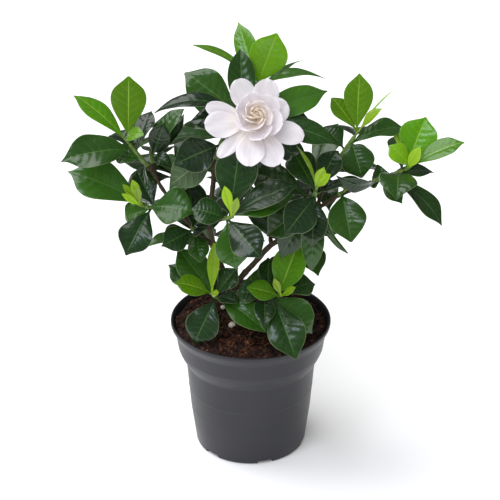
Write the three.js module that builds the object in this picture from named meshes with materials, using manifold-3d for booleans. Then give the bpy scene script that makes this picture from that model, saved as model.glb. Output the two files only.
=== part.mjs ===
// A potted gardenia: a plain nursery pot filled with peat, and a young bush with one double bloom.
// Millimetres, +Z up. The origin is the centre of the pot's flat underside, on the ground.
// The front of the plant faces -Y, and +X is to the right of someone who looks at the front.
import * as THREE from 'three';
import Module from 'manifold-3d';
import { mergeVertices } from 'three/addons/utils/BufferGeometryUtils.js';

const wasm = await Module();
wasm.setup();

const plant = new THREE.Group();
plant.name = 'potted_gardenia';

// Driving dimensions of the pot and its filling
const POT_HEIGHT = 113;
const LIP_RADIUS = 65;
const BAND_RADIUS = 59.2; // bottom of the conical rim band
const BAND_HEIGHT = 24; // rim band, lip included
const SHOULDER_RADIUS = 52.8; // below the curved shoulder
const SHOULDER_DROP = 13;
const BASE_RADIUS = 45.2;
const WALL = 1.3;
const FLOOR_THICKNESS = 2;
const POT_SIDES = 30;
const NOTCHES = 6; // drain notches in the foot
const NOTCH = { width: 13, depth: 5, height: 3.2, turn: -135 };
const SOIL_LEVEL = 108.5;
const SOIL_RADIUS = 61.1; // of its surface
const FIT = 0.3; // gap between pieces that touch

// Driving dimensions of the bush
const BLADE = 0.7; // thickness of a leaf
const ROOT = 1.3; // thickness of a leaf stalk
const STALK_WIDTH = 1.8;
const TWIG_RADIUS = 1.7;
const TRUNK_RADIUS = 3.6;
const BRANCH_RADIUS = 2.1;
const SPARE = 0.2; // room kept on each face of a leaf
const LOOK_DOWN = THREE.MathUtils.degToRad(28);

const V = (x, y, z) => new THREE.Vector3(x, y, z);
const rad = THREE.MathUtils.degToRad;

// A direction given as someone sees it who looks down at the front by LOOK_DOWN:
// to the right, up across the view, and near, towards the eye.
function seen(right, up, near) {
  const s = Math.sin(LOOK_DOWN);
  const c = Math.cos(LOOK_DOWN);
  return V(right, up * s - near * c, up * c + near * s);
}

// An even spread of numbers from 0 to 1, always the same for the same n
function chance(n) {
  const v = Math.sin(n * 12.9898) * 43758.5453;
  return v - Math.floor(v);
}

// ---------------------------------------------------------------- solids

function solidFrom(points, faces) {
  return new wasm.Manifold(new wasm.Mesh({
    numProp: 3,
    vertProperties: Float32Array.from(points.flatMap((p) => [p.x, p.y, p.z])),
    triVerts: Uint32Array.from(faces.flat()),
  }));
}

function solidOf(geometry) {
  const bare = geometry.clone();
  bare.deleteAttribute('normal');
  bare.deleteAttribute('uv');
  const merged = mergeVertices(bare, 1e-4);
  const index = Array.from(merged.index.array);
  const kept = [];
  for (let i = 0; i < index.length; i += 3) {
    const [a, b, c] = index.slice(i, i + 3);
    if (a !== b && b !== c && a !== c) kept.push(a, b, c);
  }
  return new wasm.Manifold(new wasm.Mesh({
    numProp: 3,
    vertProperties: Float32Array.from(merged.attributes.position.array),
    triVerts: Uint32Array.from(kept),
  }));
}

// Joins solids and keeps the largest outer skin: sealed pockets are filled, loose crumbs dropped
function joined(solids) {
  const whole = solids.reduce((sum, next) => sum.add(next));
  const skins = whole.decompose();
  return skins.reduce((best, next) => (next.volume() > best.volume() ? next : best));
}

function addMesh(name, solid, material) {
  const { vertProperties, triVerts } = solid.getMesh();
  const geometry = new THREE.BufferGeometry();
  geometry.setAttribute('position', new THREE.BufferAttribute(vertProperties, 3));
  geometry.setIndex(new THREE.BufferAttribute(triVerts, 1));
  geometry.computeVertexNormals();
  const mesh = new THREE.Mesh(geometry, material);
  mesh.name = name;
  plant.add(mesh);
}

function paint(color, roughness) {
  return new THREE.MeshStandardMaterial({ color, roughness, metalness: 0 });
}

const potPlastic = paint('#4a4b54', 0.45);
const peat = paint('#2c1d16', 0.95);
const perlite = paint('#d8d2c8', 0.9);
const bark = paint('#4a3524', 0.8);
const oldLeaf = paint('#26431f', 0.3);
const youngLeaf = paint('#6a9a18', 0.4);
const petalWhite = paint('#f3eff2', 0.55);

// A round bar through points, with a radius at each end
function bar(points, startRadius, endRadius, sides = 6, step = 22) {
  const curve = new THREE.CatmullRomCurve3(points, false, 'centripetal');
  const rings = Math.max(1, Math.ceil(curve.getLength() / step));
  const frames = curve.computeFrenetFrames(rings, false);
  const verts = [curve.getPointAt(0)];
  for (let i = 0; i <= rings; i++) {
    const centre = curve.getPointAt(i / rings);
    const radius = THREE.MathUtils.lerp(startRadius, endRadius, i / rings);
    for (let j = 0; j < sides; j++) {
      const a = (2 * Math.PI * j) / sides;
      verts.push(centre.clone()
        .addScaledVector(frames.normals[i], radius * Math.cos(a))
        .addScaledVector(frames.binormals[i], radius * Math.sin(a)));
    }
  }
  verts.push(curve.getPointAt(1));
  const faces = [];
  const last = verts.length - 1;
  for (let j = 0; j < sides; j++) {
    const k = (j + 1) % sides;
    faces.push([0, 1 + k, 1 + j]);
    for (let i = 0; i < rings; i++) {
      const a = 1 + i * sides;
      const b = a + sides;
      faces.push([a + j, a + k, b + k], [a + j, b + k, b + j]);
    }
    const end = 1 + rings * sides;
    faces.push([end + j, end + k, last]);
  }
  return solidFrom(verts, faces);
}

// ---------------------------------------------------------------- leaf and petal blades

const LEAF = { stations: [0.2, 0.46, 0.78], base: 0.85, stalk: 0.07 };
const PETAL = { stations: [0.3, 0.62, 0.88], widest: 0.64, base: 0.75, tip: 0.5, stalk: 0 };

// Share of the full width at a share t of the length
function spread(form, t) {
  const u = THREE.MathUtils.clamp((t - form.stalk) / (1 - form.stalk), 0, 1);
  const power = Math.log(0.5) / Math.log(form.widest);
  const arc = Math.max(Math.sin(Math.PI * u ** power), 0);
  return arc ** (u < form.widest ? form.base : form.tip);
}

// Where a blade stands: its root, the way to its tip, its upper face and its side
function stance(root, tip, face) {
  const along = tip.clone().sub(root);
  const length = along.length();
  along.normalize();
  const up = face.clone().addScaledVector(along, -face.dot(along)).normalize();
  return { root, length, along, up, side: along.clone().cross(up) };
}

// The same blade turned about its root: pitch lifts the tip, yaw swings it sideways
function turned(pose, pitch, yaw) {
  const along = pose.along.clone().applyAxisAngle(pose.side, rad(pitch));
  along.applyAxisAngle(pose.up, rad(yaw));
  const up = pose.up.clone().applyAxisAngle(pose.side, rad(pitch));
  return { ...pose, along, up, side: along.clone().cross(up) };
}

// A point of the blade's middle surface, t along it and s from -1 to 1 across it
function bladePoint(pose, shape, t, s) {
  const half = Math.max(0.5 * shape.width * spread(shape.form, t), t < 0.97 ? 0.5 * STALK_WIDTH : 0);
  const bow = shape.arch * pose.length * 4 * t * (1 - t);
  const wave = shape.wave * half * Math.sin(2 * Math.PI * (1.6 * t + shape.phase + 0.3 * s)) * s * s;
  const rise = half * (shape.fold * Math.abs(s) - shape.curl * s * s) + wave;
  return pose.root.clone()
    .addScaledVector(pose.along, pose.length * t)
    .addScaledVector(pose.side, half * s)
    .addScaledVector(pose.up, bow + rise);
}

// A closed blade with three points across, cut alike on both faces, from a share `from` of its length.
// It starts as a three-sided stalk and ends in a short edge at the tip.
function blade(pose, shape, extra = 0, from = 0) {
  const stations = shape.form.stations.filter((t) => t > from + 0.05);
  const verts = [];
  const add = (t, s, side) => {
    const thick = THREE.MathUtils.lerp(shape.root, shape.thick, Math.min(t / 0.2, 1)) + 2 * extra;
    verts.push(bladePoint(pose, shape, t, s).addScaledVector(pose.up, (side * thick) / 2));
  };
  for (const t of stations) for (const s of [-1, 0, 1]) for (const side of [1, -1]) add(t, s, side);
  add(1, 0, 1);
  add(1, 0, -1);
  add(from, -1, 1);
  add(from, 1, 1);
  add(from, 0, -1);

  const rows = stations.length;
  const [tipTop, tipUnder, left, right, under] = [0, 1, 2, 3, 4].map((i) => 6 * rows + i);
  const faces = [
    [left, under, right], [left, right, 2], [left, 2, 0], [right, 4, 2], [under, 1, 3], [under, 3, 5],
    [left, 0, 1], [left, 1, under], [right, 5, 4], [right, under, 5],
  ];
  const quad = (a, b, c, d) => faces.push([a, c, b], [a, d, c]);
  for (let a = 0; a < 6 * (rows - 1); a += 6) {
    const b = a + 6;
    quad(a + 2, a, b, b + 2);
    quad(a + 2, b + 2, b + 4, a + 4);
    quad(a + 3, b + 3, b + 1, a + 1);
    quad(a + 3, a + 5, b + 5, b + 3);
    quad(a, a + 1, b + 1, b);
    quad(a + 4, b + 4, b + 5, a + 5);
  }
  const e = 6 * (rows - 1);
  faces.push([e, e + 2, tipTop], [e + 2, e + 4, tipTop]);
  faces.push([e + 1, tipUnder, e + 3], [e + 3, tipUnder, e + 5]);
  quad(e, e + 1, tipUnder, tipTop);
  quad(e + 4, tipTop, tipUnder, e + 5);
  return solidFrom(verts, faces);
}

// ---------------------------------------------------------------- room between leaves

const placed = []; // what stands already: { node, box, whole, beyond }

function boxOf(solid) {
  const { min, max } = solid.boundingBox();
  return new THREE.Box3(V(...min), V(...max));
}

function remember(node, whole, beyond = whole) {
  placed.push({ node, whole, beyond, box: boxOf(whole) });
}

const meet = (a, b) => !a.intersect(b).isEmpty();

// True if the blade is clear of every other node, and, past its stalk, of its own node's blades
function hasRoom(node, whole, beyond) {
  const box = boxOf(whole);
  return !placed.some((other) => {
    if (!box.intersectsBox(other.box)) return false;
    return other.node === node ? meet(beyond, other.beyond) : meet(whole, other.whole);
  });
}

// Turns tried in this order, the smallest first, where a leaf would cut into a neighbour.
// A swing to the side counts for more than a lift of the tip.
const SWING_COST = 2.5;
const TURNS = [0, 9, -9, 18, -18, 27, -27, 36, -36]
  .flatMap((pitch) => [0, 12, -12].map((yaw) => [pitch, yaw]))
  .sort((a, b) => Math.hypot(a[0], SWING_COST * a[1]) - Math.hypot(b[0], SWING_COST * b[1]));

// The blade in the first stance that has room, or a smaller one, or none
function settled(node, pose, shape) {
  for (const size of [1, 0.8, 0.6]) {
    for (const [pitch, yaw] of TURNS) {
      const tried = turned({ ...pose, length: pose.length * size }, pitch, yaw);
      const form = { ...shape, width: shape.width * size };
      const whole = blade(tried, form, SPARE);
      const beyond = blade(tried, form, SPARE, 0.2);
      if (hasRoom(node, whole, beyond)) {
        remember(node, whole, beyond);
        return blade(tried, form);
      }
    }
  }
  return null;
}

// ---------------------------------------------------------------- pot

const bodySide = [
  [BASE_RADIUS - 1.2, 0], [BASE_RADIUS, 1.2], [49.4, 33.6],
  [SHOULDER_RADIUS, POT_HEIGHT - BAND_HEIGHT - SHOULDER_DROP], [57, 83.5],
  [BAND_RADIUS, POT_HEIGHT - BAND_HEIGHT],
];
const bandSide = [[61.3, 103], [LIP_RADIUS, 110]];

function makePot() {
  const inner = [...bodySide.slice(1), ...bandSide].map(([r, z]) => [r - WALL, z]).reverse();
  const outline = [
    [0, 0], ...bodySide, ...bandSide,
    [LIP_RADIUS, POT_HEIGHT - 0.6], [LIP_RADIUS - 0.6, POT_HEIGHT], [LIP_RADIUS - 1.7, POT_HEIGHT - 0.4],
    ...inner.slice(1, -1), [BASE_RADIUS - WALL, FLOOR_THICKNESS], [0, FLOOR_THICKNESS],
  ];
  const shell = new THREE.LatheGeometry(outline.map(([r, z]) => new THREE.Vector2(r, z)), POT_SIDES);
  let pot = solidOf(shell.rotateX(Math.PI / 2));
  for (let i = 0; i < NOTCHES; i++) {
    const notch = new THREE.BoxGeometry(2 * NOTCH.depth, NOTCH.width, 2 * NOTCH.height);
    notch.translate(BASE_RADIUS, 0, 0).rotateZ(rad(NOTCH.turn + (360 / NOTCHES) * i));
    pot = pot.subtract(solidOf(notch));
  }
  addMesh('pot', pot, potPlastic);
  remember('pot', pot);
}

// ---------------------------------------------------------------- soil and perlite

const GRAINS = [[-15, -10, 3], [-23, 20, 2], [21, -37, 2.2]]; // X, Y and radius of the perlite

// Height of the crumbly surface: a low mound round the trunk, with lumps and hollows
function soilTop(x, y) {
  const mound = 2.5 * Math.exp(-(((x + 14) / 30) ** 2) - ((y / 30) ** 2));
  const lumps = 0.9 * Math.sin(0.41 * x + 1) * Math.cos(0.37 * y) + 0.7 * Math.sin(0.19 * x - 0.27 * y);
  return SOIL_LEVEL + mound + lumps;
}

function grainSolid([x, y, radius], extra) {
  const grain = new THREE.IcosahedronGeometry(radius + extra);
  return solidOf(grain.translate(x, y, soilTop(x, y) + 0.5 * radius));
}

function makeSoil(trunkHole) {
  const side = bodySide.slice(2).concat(bandSide.slice(0, 1)).map(([r, z]) => [r - WALL - FIT, z]);
  const rings = [47, 31, 15, 0].map((r) => [r, SOIL_LEVEL]);
  const edge = side.filter(([, z]) => z < SOIL_LEVEL - 2);
  const outline = [
    [0, FLOOR_THICKNESS + FIT], [BASE_RADIUS - WALL - FIT, FLOOR_THICKNESS + FIT], ...edge,
    [SOIL_RADIUS, SOIL_LEVEL - 1], ...rings,
  ];
  const block = new THREE.LatheGeometry(outline.map(([r, z]) => new THREE.Vector2(r, z)), POT_SIDES);
  block.rotateX(Math.PI / 2);
  const at = block.attributes.position;
  for (let i = 0; i < at.count; i++) {
    if (at.getZ(i) > SOIL_LEVEL - 0.5) at.setZ(i, soilTop(at.getX(i), at.getY(i)));
  }
  let soil = solidOf(block).subtract(trunkHole);
  for (const grain of GRAINS) soil = soil.subtract(grainSolid(grain, FIT));
  addMesh('soil', soil, peat);
  remember('soil', soil);
  GRAINS.forEach((grain, i) => {
    const solid = grainSolid(grain, 0);
    addMesh(`perlite_${i + 1}`, solid, perlite);
    remember(`perlite_${i + 1}`, solid);
  });
}

// ---------------------------------------------------------------- wood

const FOOT = V(-16, 5, 62); // the trunk's cut end in the soil
const COLLAR = V(-16, 5, 114);

const limbs = [
  {
    points: [FOOT, V(-16, 5, 85), V(-16, 5, 104), COLLAR, V(-15, 2, 122), V(-14, -5, 142)],
    radii: [TRUNK_RADIUS, 3],
    step: 8,
  },
  {
    points: [V(-14, -5, 142), V(-7, -5, 154), V(2, -5, 165), V(16, -5, 182), V(32, -8, 194),
      V(44, -12, 208), V(51, -15, 219)],
    radii: [2.9, 2.1],
  },
  {
    points: [V(-14, -5, 142), V(-21, -5, 158), V(-28, -5, 180), V(-33, -10, 205), V(-30, -9, 232),
      V(-28, -9, 252), V(-16, -2, 276)],
    radii: [2.6, 1.8],
  },
];

// ---------------------------------------------------------------- shoots

function backShoot(name, tip, way) {
  return { name, tip, green: 12, way, old: [], young: [], behind: 0, whorl: 6 };
}

// Each shoot grows from the wood along `way` to its node `tip`; the last `green` of it carries the leaves.
// A leaf is listed as the place of its tip seen from the shoot's node (right, up, near), its width,
// the turn of its upper face about its length, and its bow as a share of its length. The first of the
// list leave the twig nearest to its end.
const shoots = [
  {
    name: 'left_top', tip: V(-94, 0, 268), green: 24,
    way: [V(-28, -5, 180), V(-40, -2, 190), V(-55, 0, 208), V(-69, 0, 229), V(-76, 0, 243)],
    old: [[-50, -9, 20, 31, 15, 0.08], [16, 29, -24, 18, -30, 0.05], [-18, 8, -22, 16, 40, 0.2],
          [-13, -8, -8, 18, 20, 0.1], [16, -34, 6, 8, 60, 0.05]],
    young: [[0, 52, 8, 28, 0, -0.05], [-44, 39, -8, 21, 35, 0.06], [12, 6, 24, 13, -20, 0.15]],
    behind: 1,
  },
  {
    name: 'left_inner', tip: V(-79, 20, 253), green: 12, way: [V(-74, 0, 238), V(-76, 8, 243)],
    old: [[26, 33, 6, 22, -35, 0.08], [12, 20, 20, 17, 20, 0.05], [18, -14, 16, 12, -10, 0.3],
          [27, 30, -16, 11, 60, 0.02]],
    young: [], behind: 1,
  },
  {
    name: 'left_low', tip: V(-82, -20, 224), green: 14, way: [V(-55, 0, 208), V(-64, -6, 213)],
    old: [[39, -4, 12, 32, -12, 0.08], [-61, 28, -6, 34, 12, 0.08], [-14, -38, 14, 27, 0, 0.1],
          [-18, -9, -16, 20, 20, 0.1], [-7, 34, -8, 22, 5, 0.03]],
    young: [[-17, 17, 6, 7, 20, 0], [-10, 21, 4, 7, 0, 0], [-19, 9, 10, 6, 10, 0], [-6, 15, 9, 6, 0, 0]],
    behind: 1,
  },
  {
    name: 'under_bloom', tip: V(-22, -13, 278), green: 18, way: [V(-29, -9, 246), V(-29.5, -11, 252)],
    old: [[-36, -20, 14, 28, -10, 0.08], [-40, -36, 4, 26, 160, 0.08], [-50, -35, -16, 22, 10, 0.1]],
    young: [], behind: 1,
  },
  {
    name: 'bloom_stem', tip: V(-4, -10, 295), green: 10, way: [V(-16, -2, 276), V(-12, -4, 281)],
    old: [[-47, 35, -4, 29, 0, 0.06], [-70, 3, 4, 17, 35, 0.22], [-44, -3, -8, 19, 10, 0.1],
          [-4, 54, -14, 22, 5, 0], [63, 21, 4, 22, 10, 0.14], [50, -2, -8, 30, -10, 0.08],
          [70, -21, 8, 25, -20, 0.12], [8, -42, -22, 26, 0, 0.1]],
    young: [], behind: 0,
  },
  {
    name: 'crown', tip: V(4, 20, 306), green: 14, way: [V(-16, -2, 276), V(-10, 6, 286)],
    old: [[54, 7, 4, 15, -50, 0.18], [37, 24, -10, 9, -75, 0.05]],
    young: [[16, 41, 14, 30, 5, -0.04], [-50, 34, -2, 14, 50, 0.12], [-14, 54, -18, 18, -15, 0.03]],
    behind: 1,
  },
  {
    name: 'centre', tip: V(-15, -45, 227), green: 14, way: [V(-33, -10, 205), V(-28, -22, 213)],
    old: [[-5, 57, 0, 33, 0, 0.05], [50, 25, 6, 25, -25, 0.08], [48, 17, -10, 27, -20, 0.08],
          [22, -30, 20, 27, 10, 0.08], [4, -40, -6, 27, 0, 0.1], [-31, 5, -12, 24, 15, 0.1],
          [12, 38, -14, 16, 10, 0.05]],
    young: [[-5, 24, 6, 8, 0, 0], [5, 15, 10, 6, 0, 0]],
    behind: 1,
  },
  {
    name: 'centre_left', tip: V(-47, -9, 200), green: 9, way: [V(-38, -3, 188), V(-40, -4, 190)],
    old: [[-23, -15, 10, 21, -10, 0.1], [-22, -10, -14, 20, 10, 0.1], [21, -9, 14, 18, -10, 0.1],
          [8, -27, 12, 17, 0, 0.1]],
    young: [], behind: 2,
  },
  {
    name: 'low_left', tip: V(-30, -25, 148), green: 12, way: [V(-15, 2, 122), V(-20, -10, 132)],
    old: [[-29, 38, -8, 26, 10, 0.05], [-36, 24, -12, 26, 20, 0.1], [20, 22, -4, 19, -20, 0.05],
          [19, -3, 10, 15, -30, 0.1], [-15, -39, -2, 27, 0, 0.08], [0, 28, -18, 18, 10, 0.05],
          [42, -29, 10, 23, -15, 0.12]],
    young: [[1, 42, 6, 10, 15, 0], [-30, 10, 14, 19, 20, 0.12], [5, 2, 16, 6, 0, 0]],
    behind: 0,
  },
  {
    name: 'low_right', tip: V(20, -30, 150), green: 14, way: [V(-14, -5, 142), V(-2, -15, 144)],
    old: [[23, 20, -14, 20, -25, 0.05], [31, 6, -16, 22, -25, 0.1], [15, -48, 26, 30, 0, 0.1],
          [29, -28, 6, 30, 0, 0.1], [-1, -38, 2, 21, 0, 0.1], [-31, -2, -10, 21, 20, 0.1],
          [-6, 31, -14, 17, 10, 0.05], [-18, 22, -20, 20, 10, 0.1], [-9, -25, 22, 17, 0, 0.12]],
    young: [[18, 44, 8, 27, -10, 0], [-23, 7, 14, 17, 10, 0.1], [15, 7, 16, 7, -20, 0],
            [-2, 14, 8, 6, 0, 0]],
    behind: 0,
  },
  {
    name: 'right_mid', tip: V(50, -25, 240), green: 16, way: [V(44, -12, 208), V(47, -17, 216)],
    old: [[-17, 33, -4, 25, 10, 0.05], [17, 32, -6, 20, -10, 0.05], [38, 9, -6, 14, -40, 0.1],
          [-24, -34, 18, 27, -10, 0.1], [-3, -43, 2, 22, 0, 0.1], [19, -51, 4, 10, 60, 0.1],
          [-51, 19, -8, 28, 10, 0.08], [-3, -63, -6, 18, 0, 0.08], [-38, -35, -14, 25, 0, 0.1],
          [-29, -53, -18, 21, 0, 0.1]],
    young: [[6, 18, 8, 9, 0, 0], [15, 11, 10, 9, -20, 0.05], [-15, 35, -4, 8, 60, 0.05]],
    behind: 0,
  },
  {
    name: 'right_hanging', tip: V(71, -19, 236), green: 5, way: [V(64, -15, 228), V(65.5, -16, 230)],
    old: [[6, -39, 12, 30, 0, 0.08]],
    young: [[7, 8, 6, 6, 0, 0], [-3, 9, 4, 5, 0, 0]],
    behind: 0,
  },
  {
    name: 'right_top', tip: V(81, 5, 273), green: 20,
    way: [V(51, -15, 219), V(58, -6, 238), V(64, -1, 249)],
    old: [[5, -33, 4, 27, 0, 0.08], [38, 12, -6, 21, -30, 0.12], [-25, 7, -10, 22, 20, 0.1]],
    young: [[3, 48, 4, 23, 0, 0], [-18, 30, -4, 18, 20, 0.03], [31, 36, -6, 8, -75, 0.05],
            [20, 20, 12, 11, -40, 0.05]],
    behind: 1,
  },
  {
    name: 'right_end', tip: V(118, -10, 250), green: 26,
    way: [V(51, -15, 219), V(64, -15, 228), V(76, -13, 234), V(88, -12, 239)],
    old: [[-8, -23, 34, 30, 0, 0.12], [-27, -6, -14, 20, 20, 0.1], [25, -1, -8, 16, -40, 0.1],
          [29, -43, 10, 21, -30, 0.15], [-2, -26, 12, 14, 0, 0.1], [-54, -2, 14, 14, -55, 0.2]],
    young: [[18, 42, -4, 30, -5, 0.03], [49, 17, 6, 20, -30, 0.08], [15, 21, 4, 9, 0, 0],
            [-8, 20, 10, 18, 20, 0.15], [-10, 37, -16, 11, 40, 0.05]],
    behind: 1,
  },
  // The back of the bush: whorls that follow one rule
  backShoot('back_middle', V(14, 26, 206), [V(16, -5, 182), V(15, 10, 192)]),
  backShoot('back_left', V(-60, 46, 222), [V(-55, 0, 208), V(-57, 16, 212)]),
  backShoot('back_high', V(-20, 46, 258), [V(-30, -9, 232), V(-27, 14, 244)]),
  backShoot('back_right', V(54, 44, 224), [V(32, -8, 194), V(40, 14, 206)]),
  backShoot('back_low_left', V(-36, 44, 166), [V(-15, 2, 122), V(-22, 22, 140)]),
  backShoot('back_low_right', V(38, 44, 160), [V(-15, 2, 122), V(0, 22, 138)]),
];

// Leaves of a whorl at the back: round the node, most of them away from the front
function whorlLeaves(shoot, seed) {
  const away = Math.atan2(shoot.tip.y, shoot.tip.x);
  const tips = [];
  for (let i = 0; i < shoot.whorl; i++) {
    const turn = away + rad(-150 + (300 * (i + 0.5)) / shoot.whorl) + 0.3 * (chance(seed + i) - 0.5);
    const lift = rad(i % 2 ? 28 : -4) + 0.25 * (chance(seed + i + 40) - 0.5);
    const length = 46 + 12 * chance(seed + i + 80);
    tips.push(V(Math.cos(turn) * Math.cos(lift), Math.sin(turn) * Math.cos(lift), Math.sin(lift))
      .multiplyScalar(length));
  }
  return tips;
}

// Leaves behind a shoot that the list describes: they lean away from the front
function hiddenLeaves(count, seed) {
  const tips = [];
  for (let i = 0; i < count; i++) {
    const turn = rad(90 + 45 * (i - (count - 1) / 2) + 20 * (chance(seed + i) - 0.5));
    const length = 42 + 10 * chance(seed + i + 40);
    tips.push(V(Math.cos(turn), Math.sin(turn), 0.15).setLength(length));
  }
  return tips;
}

// Every leaf is a little its own: fuller at the middle or nearer the tip, blunt or pointed
function leafShape(width, arch, seed, young) {
  const form = { ...LEAF, widest: 0.5 + 0.14 * chance(seed + 5), tip: 0.7 + 0.35 * chance(seed + 4) };
  return {
    form, width, arch, root: young ? 1.2 : ROOT, thick: BLADE,
    fold: 0.2 + 0.16 * chance(seed), curl: 0.12 + 0.1 * chance(seed + 1),
    wave: young ? 0.05 : 0.08 + 0.1 * chance(seed + 2), phase: chance(seed + 3),
  };
}

// Puts a leaf's root on the side of the twig that its stalk leaves from, `back` behind the node
function rooted(shoot, back, toTip, face) {
  const out = toTip.clone().normalize().addScaledVector(face, -0.6);
  out.addScaledVector(shoot.axis, -out.dot(shoot.axis)).setLength(0.15 * TWIG_RADIUS);
  const root = shoot.tip.clone().addScaledVector(shoot.axis, -back).add(out);
  return stance(root, shoot.tip.clone().add(toTip), face);
}

function listedPose(shoot, [right, up, near, , roll], back) {
  const toTip = seen(right, up, near);
  const face = seen(0, 0.22, 1).applyAxisAngle(toTip.clone().normalize(), rad(roll));
  return rooted(shoot, back, toTip, face.normalize());
}

function ruledPose(shoot, toTip, back) {
  const face = V(toTip.x, toTip.y, 0).setLength(0.35).add(V(0, 0, 1)).normalize();
  return rooted(shoot, back, toTip, face);
}

function makeShoots() {
  for (const shoot of shoots) {
    const from = shoot.way[shoot.way.length - 1];
    shoot.axis = shoot.tip.clone().sub(from).normalize();
    const start = shoot.tip.clone().addScaledVector(shoot.axis, -shoot.green);
    const before = start.clone().addScaledVector(shoot.axis, -3);
    limbs.push({ points: [...shoot.way, before, start], radii: [BRANCH_RADIUS, TWIG_RADIUS] });
    const green = start.clone().addScaledVector(shoot.axis, FIT);
    shoot.twig = bar([green, shoot.tip], TWIG_RADIUS, TWIG_RADIUS - 0.2, 4, 100);
    remember(`leaves_${shoot.name}`, shoot.twig, solidFrom([], []));
    if (shoot.young.length) {
      const at = (d) => shoot.tip.clone().addScaledVector(shoot.axis, d);
      shoot.bud = bar([at(FIT), at(6)], 1.1, 0.6, 5, 100);
      remember(`young_${shoot.name}`, shoot.bud, solidFrom([], []));
    }
  }
}

function makeWood() {
  const wood = joined(limbs.map(({ points, radii, step }, i) => bar(points, ...radii, i < 3 ? 6 : 4, step)));
  addMesh('woody_stems', wood, bark);
  remember('woody_stems', wood);
}

// The listed leaves take their places first, and the ruled ones fill in behind them
function growLeaves() {
  shoots.forEach((shoot, n) => {
    const seed = 100 * (n + 1);
    shoot.node = `leaves_${shoot.name}`;
    shoot.seed = seed;
    shoot.ruled = shoot.whorl ? whorlLeaves(shoot, seed) : hiddenLeaves(shoot.behind, seed);
    shoot.gap = (shoot.green - 3) / (shoot.ruled.length + shoot.old.length);
    const bud = `young_${shoot.name}`;
    const fresh = shoot.young.map((row, i) => settled(
      bud, listedPose(shoot, row, -1.8 - 1.1 * i), leafShape(row[3], row[5], seed + 10 * i, true)));
    if (shoot.bud) addMesh(bud, joined([shoot.bud, ...fresh.filter(Boolean)]), youngLeaf);
    shoot.grown = shoot.old.map((row, i) => settled(
      shoot.node, listedPose(shoot, row, 1.5 + shoot.gap * (i + shoot.ruled.length)),
      leafShape(row[3], row[5], seed + 10 * i + 5, false)));
  });
  for (const { node, seed, ruled, gap, grown, twig, ...shoot } of shoots) {
    const filling = ruled.map((toTip, i) => settled(
      node, ruledPose(shoot, toTip, 1.5 + gap * i),
      leafShape(22 + 6 * chance(seed + i + 7), 0.08, seed + 10 * i + 9, false)));
    addMesh(node, joined([twig, ...grown, ...filling].filter(Boolean)), oldLeaf);
  }
}

// ---------------------------------------------------------------- bloom

const BLOOM = V(3, -33.5, 304);
const BLOOM_AXIS = V(0.05, -0.75, 0.66).normalize();
const BLOOM_RIGHT = V(0, 0, 1).cross(BLOOM_AXIS).normalize();
const BLOOM_UP = BLOOM_AXIS.clone().cross(BLOOM_RIGHT).normalize();

// Petals by whorl: [clock turn in degrees from the right, reach, height of the tip, width]
const outerPetals = [
  [110, 34, 0, 20], [65, 33, 2, 20], [23, 28, -1, 20], [-22, 39.5, -4, 18], [-68, 40, 2, 21],
  [-100, 38, 4, 22], [-136, 40, -3, 12], [-174, 38, 0, 22], [160, 38.5, -5, 15],
];
const middlePetals = [
  [100, 17, 11, 19], [40, 20, 11, 19], [-20, 21, 10, 20], [-75, 19, 11, 20],
  [-135, 15, 11, 19], [165, 14.5, 11, 19],
];
const innerPetals = [
  [70, 10, 14, 15], [-5, 12, 14, 16], [-80, 11, 14, 15], [-150, 8.5, 14.5, 15], [140, 8.5, 14, 15],
  [20, 6, 14, 11], [-130, 4, 15, 11],
];
// Bow, cup and lean of each whorl: a petal leans over its neighbour, so that the heart turns like a wheel
const outerForm = { arch: -0.05, cup: 0.1, lean: 6 };
const middleForm = { arch: -0.14, cup: 0.3, lean: 16 };
const innerForm = { arch: -0.18, cup: 0.45, lean: 24 };

function petalAt([turn, reach, height, width], { arch, cup, lean }) {
  const outward = BLOOM_RIGHT.clone().multiplyScalar(Math.cos(rad(turn)))
    .addScaledVector(BLOOM_UP, Math.sin(rad(turn)));
  const heart = BLOOM.clone().addScaledVector(BLOOM_AXIS, -6);
  const root = heart.clone().addScaledVector(outward, 1.5);
  const tip = BLOOM.clone().addScaledVector(outward, reach).addScaledVector(BLOOM_AXIS, height);
  const face = BLOOM_AXIS.clone().addScaledVector(outward, -0.3).normalize();
  const pose = stance(root, tip, face.applyAxisAngle(tip.clone().sub(root).normalize(), rad(lean)));
  return blade(pose, {
    form: PETAL, width, arch, root: 1, thick: 0.8, fold: 0, curl: -cup, wave: 0.05,
    phase: chance(turn + 500),
  });
}

function makeBloom() {
  const heart = [
    [0, -10], [2.2, -10], [4.2, -6], [4.8, -1], [4.6, 7], [3, 11.5], [0, 13],
  ].map(([r, z]) => new THREE.Vector2(r, z));
  const core = new THREE.LatheGeometry(heart, 10).rotateX(Math.PI / 2);
  core.applyQuaternion(new THREE.Quaternion().setFromUnitVectors(V(0, 0, 1), BLOOM_AXIS));
  core.translate(BLOOM.x, BLOOM.y, BLOOM.z);
  const bloom = joined([
    solidOf(core),
    ...outerPetals.map((row) => petalAt(row, outerForm)),
    ...middlePetals.map((row) => petalAt(row, middleForm)),
    ...innerPetals.map((row) => petalAt(row, innerForm)),
  ]);
  addMesh('bloom', bloom, petalWhite);
  remember('bloom', bloom);
}

// The stalk behind the bloom
function makeCalyx() {
  const stem = shoots.find((shoot) => shoot.name === 'bloom_stem');
  const start = stem.tip.clone().addScaledVector(stem.axis, FIT);
  const back = BLOOM.clone().addScaledVector(BLOOM_AXIS, -10 - FIT);
  const stalk = bar([
    start, stem.tip.clone().addScaledVector(stem.axis, 4),
    back.clone().addScaledVector(BLOOM_AXIS, -5), back,
  ], 1.3, 2.2, 8, 5);
  addMesh('bloom_stalk', stalk, youngLeaf);
  remember('bloom_stalk', stalk);
}

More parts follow.
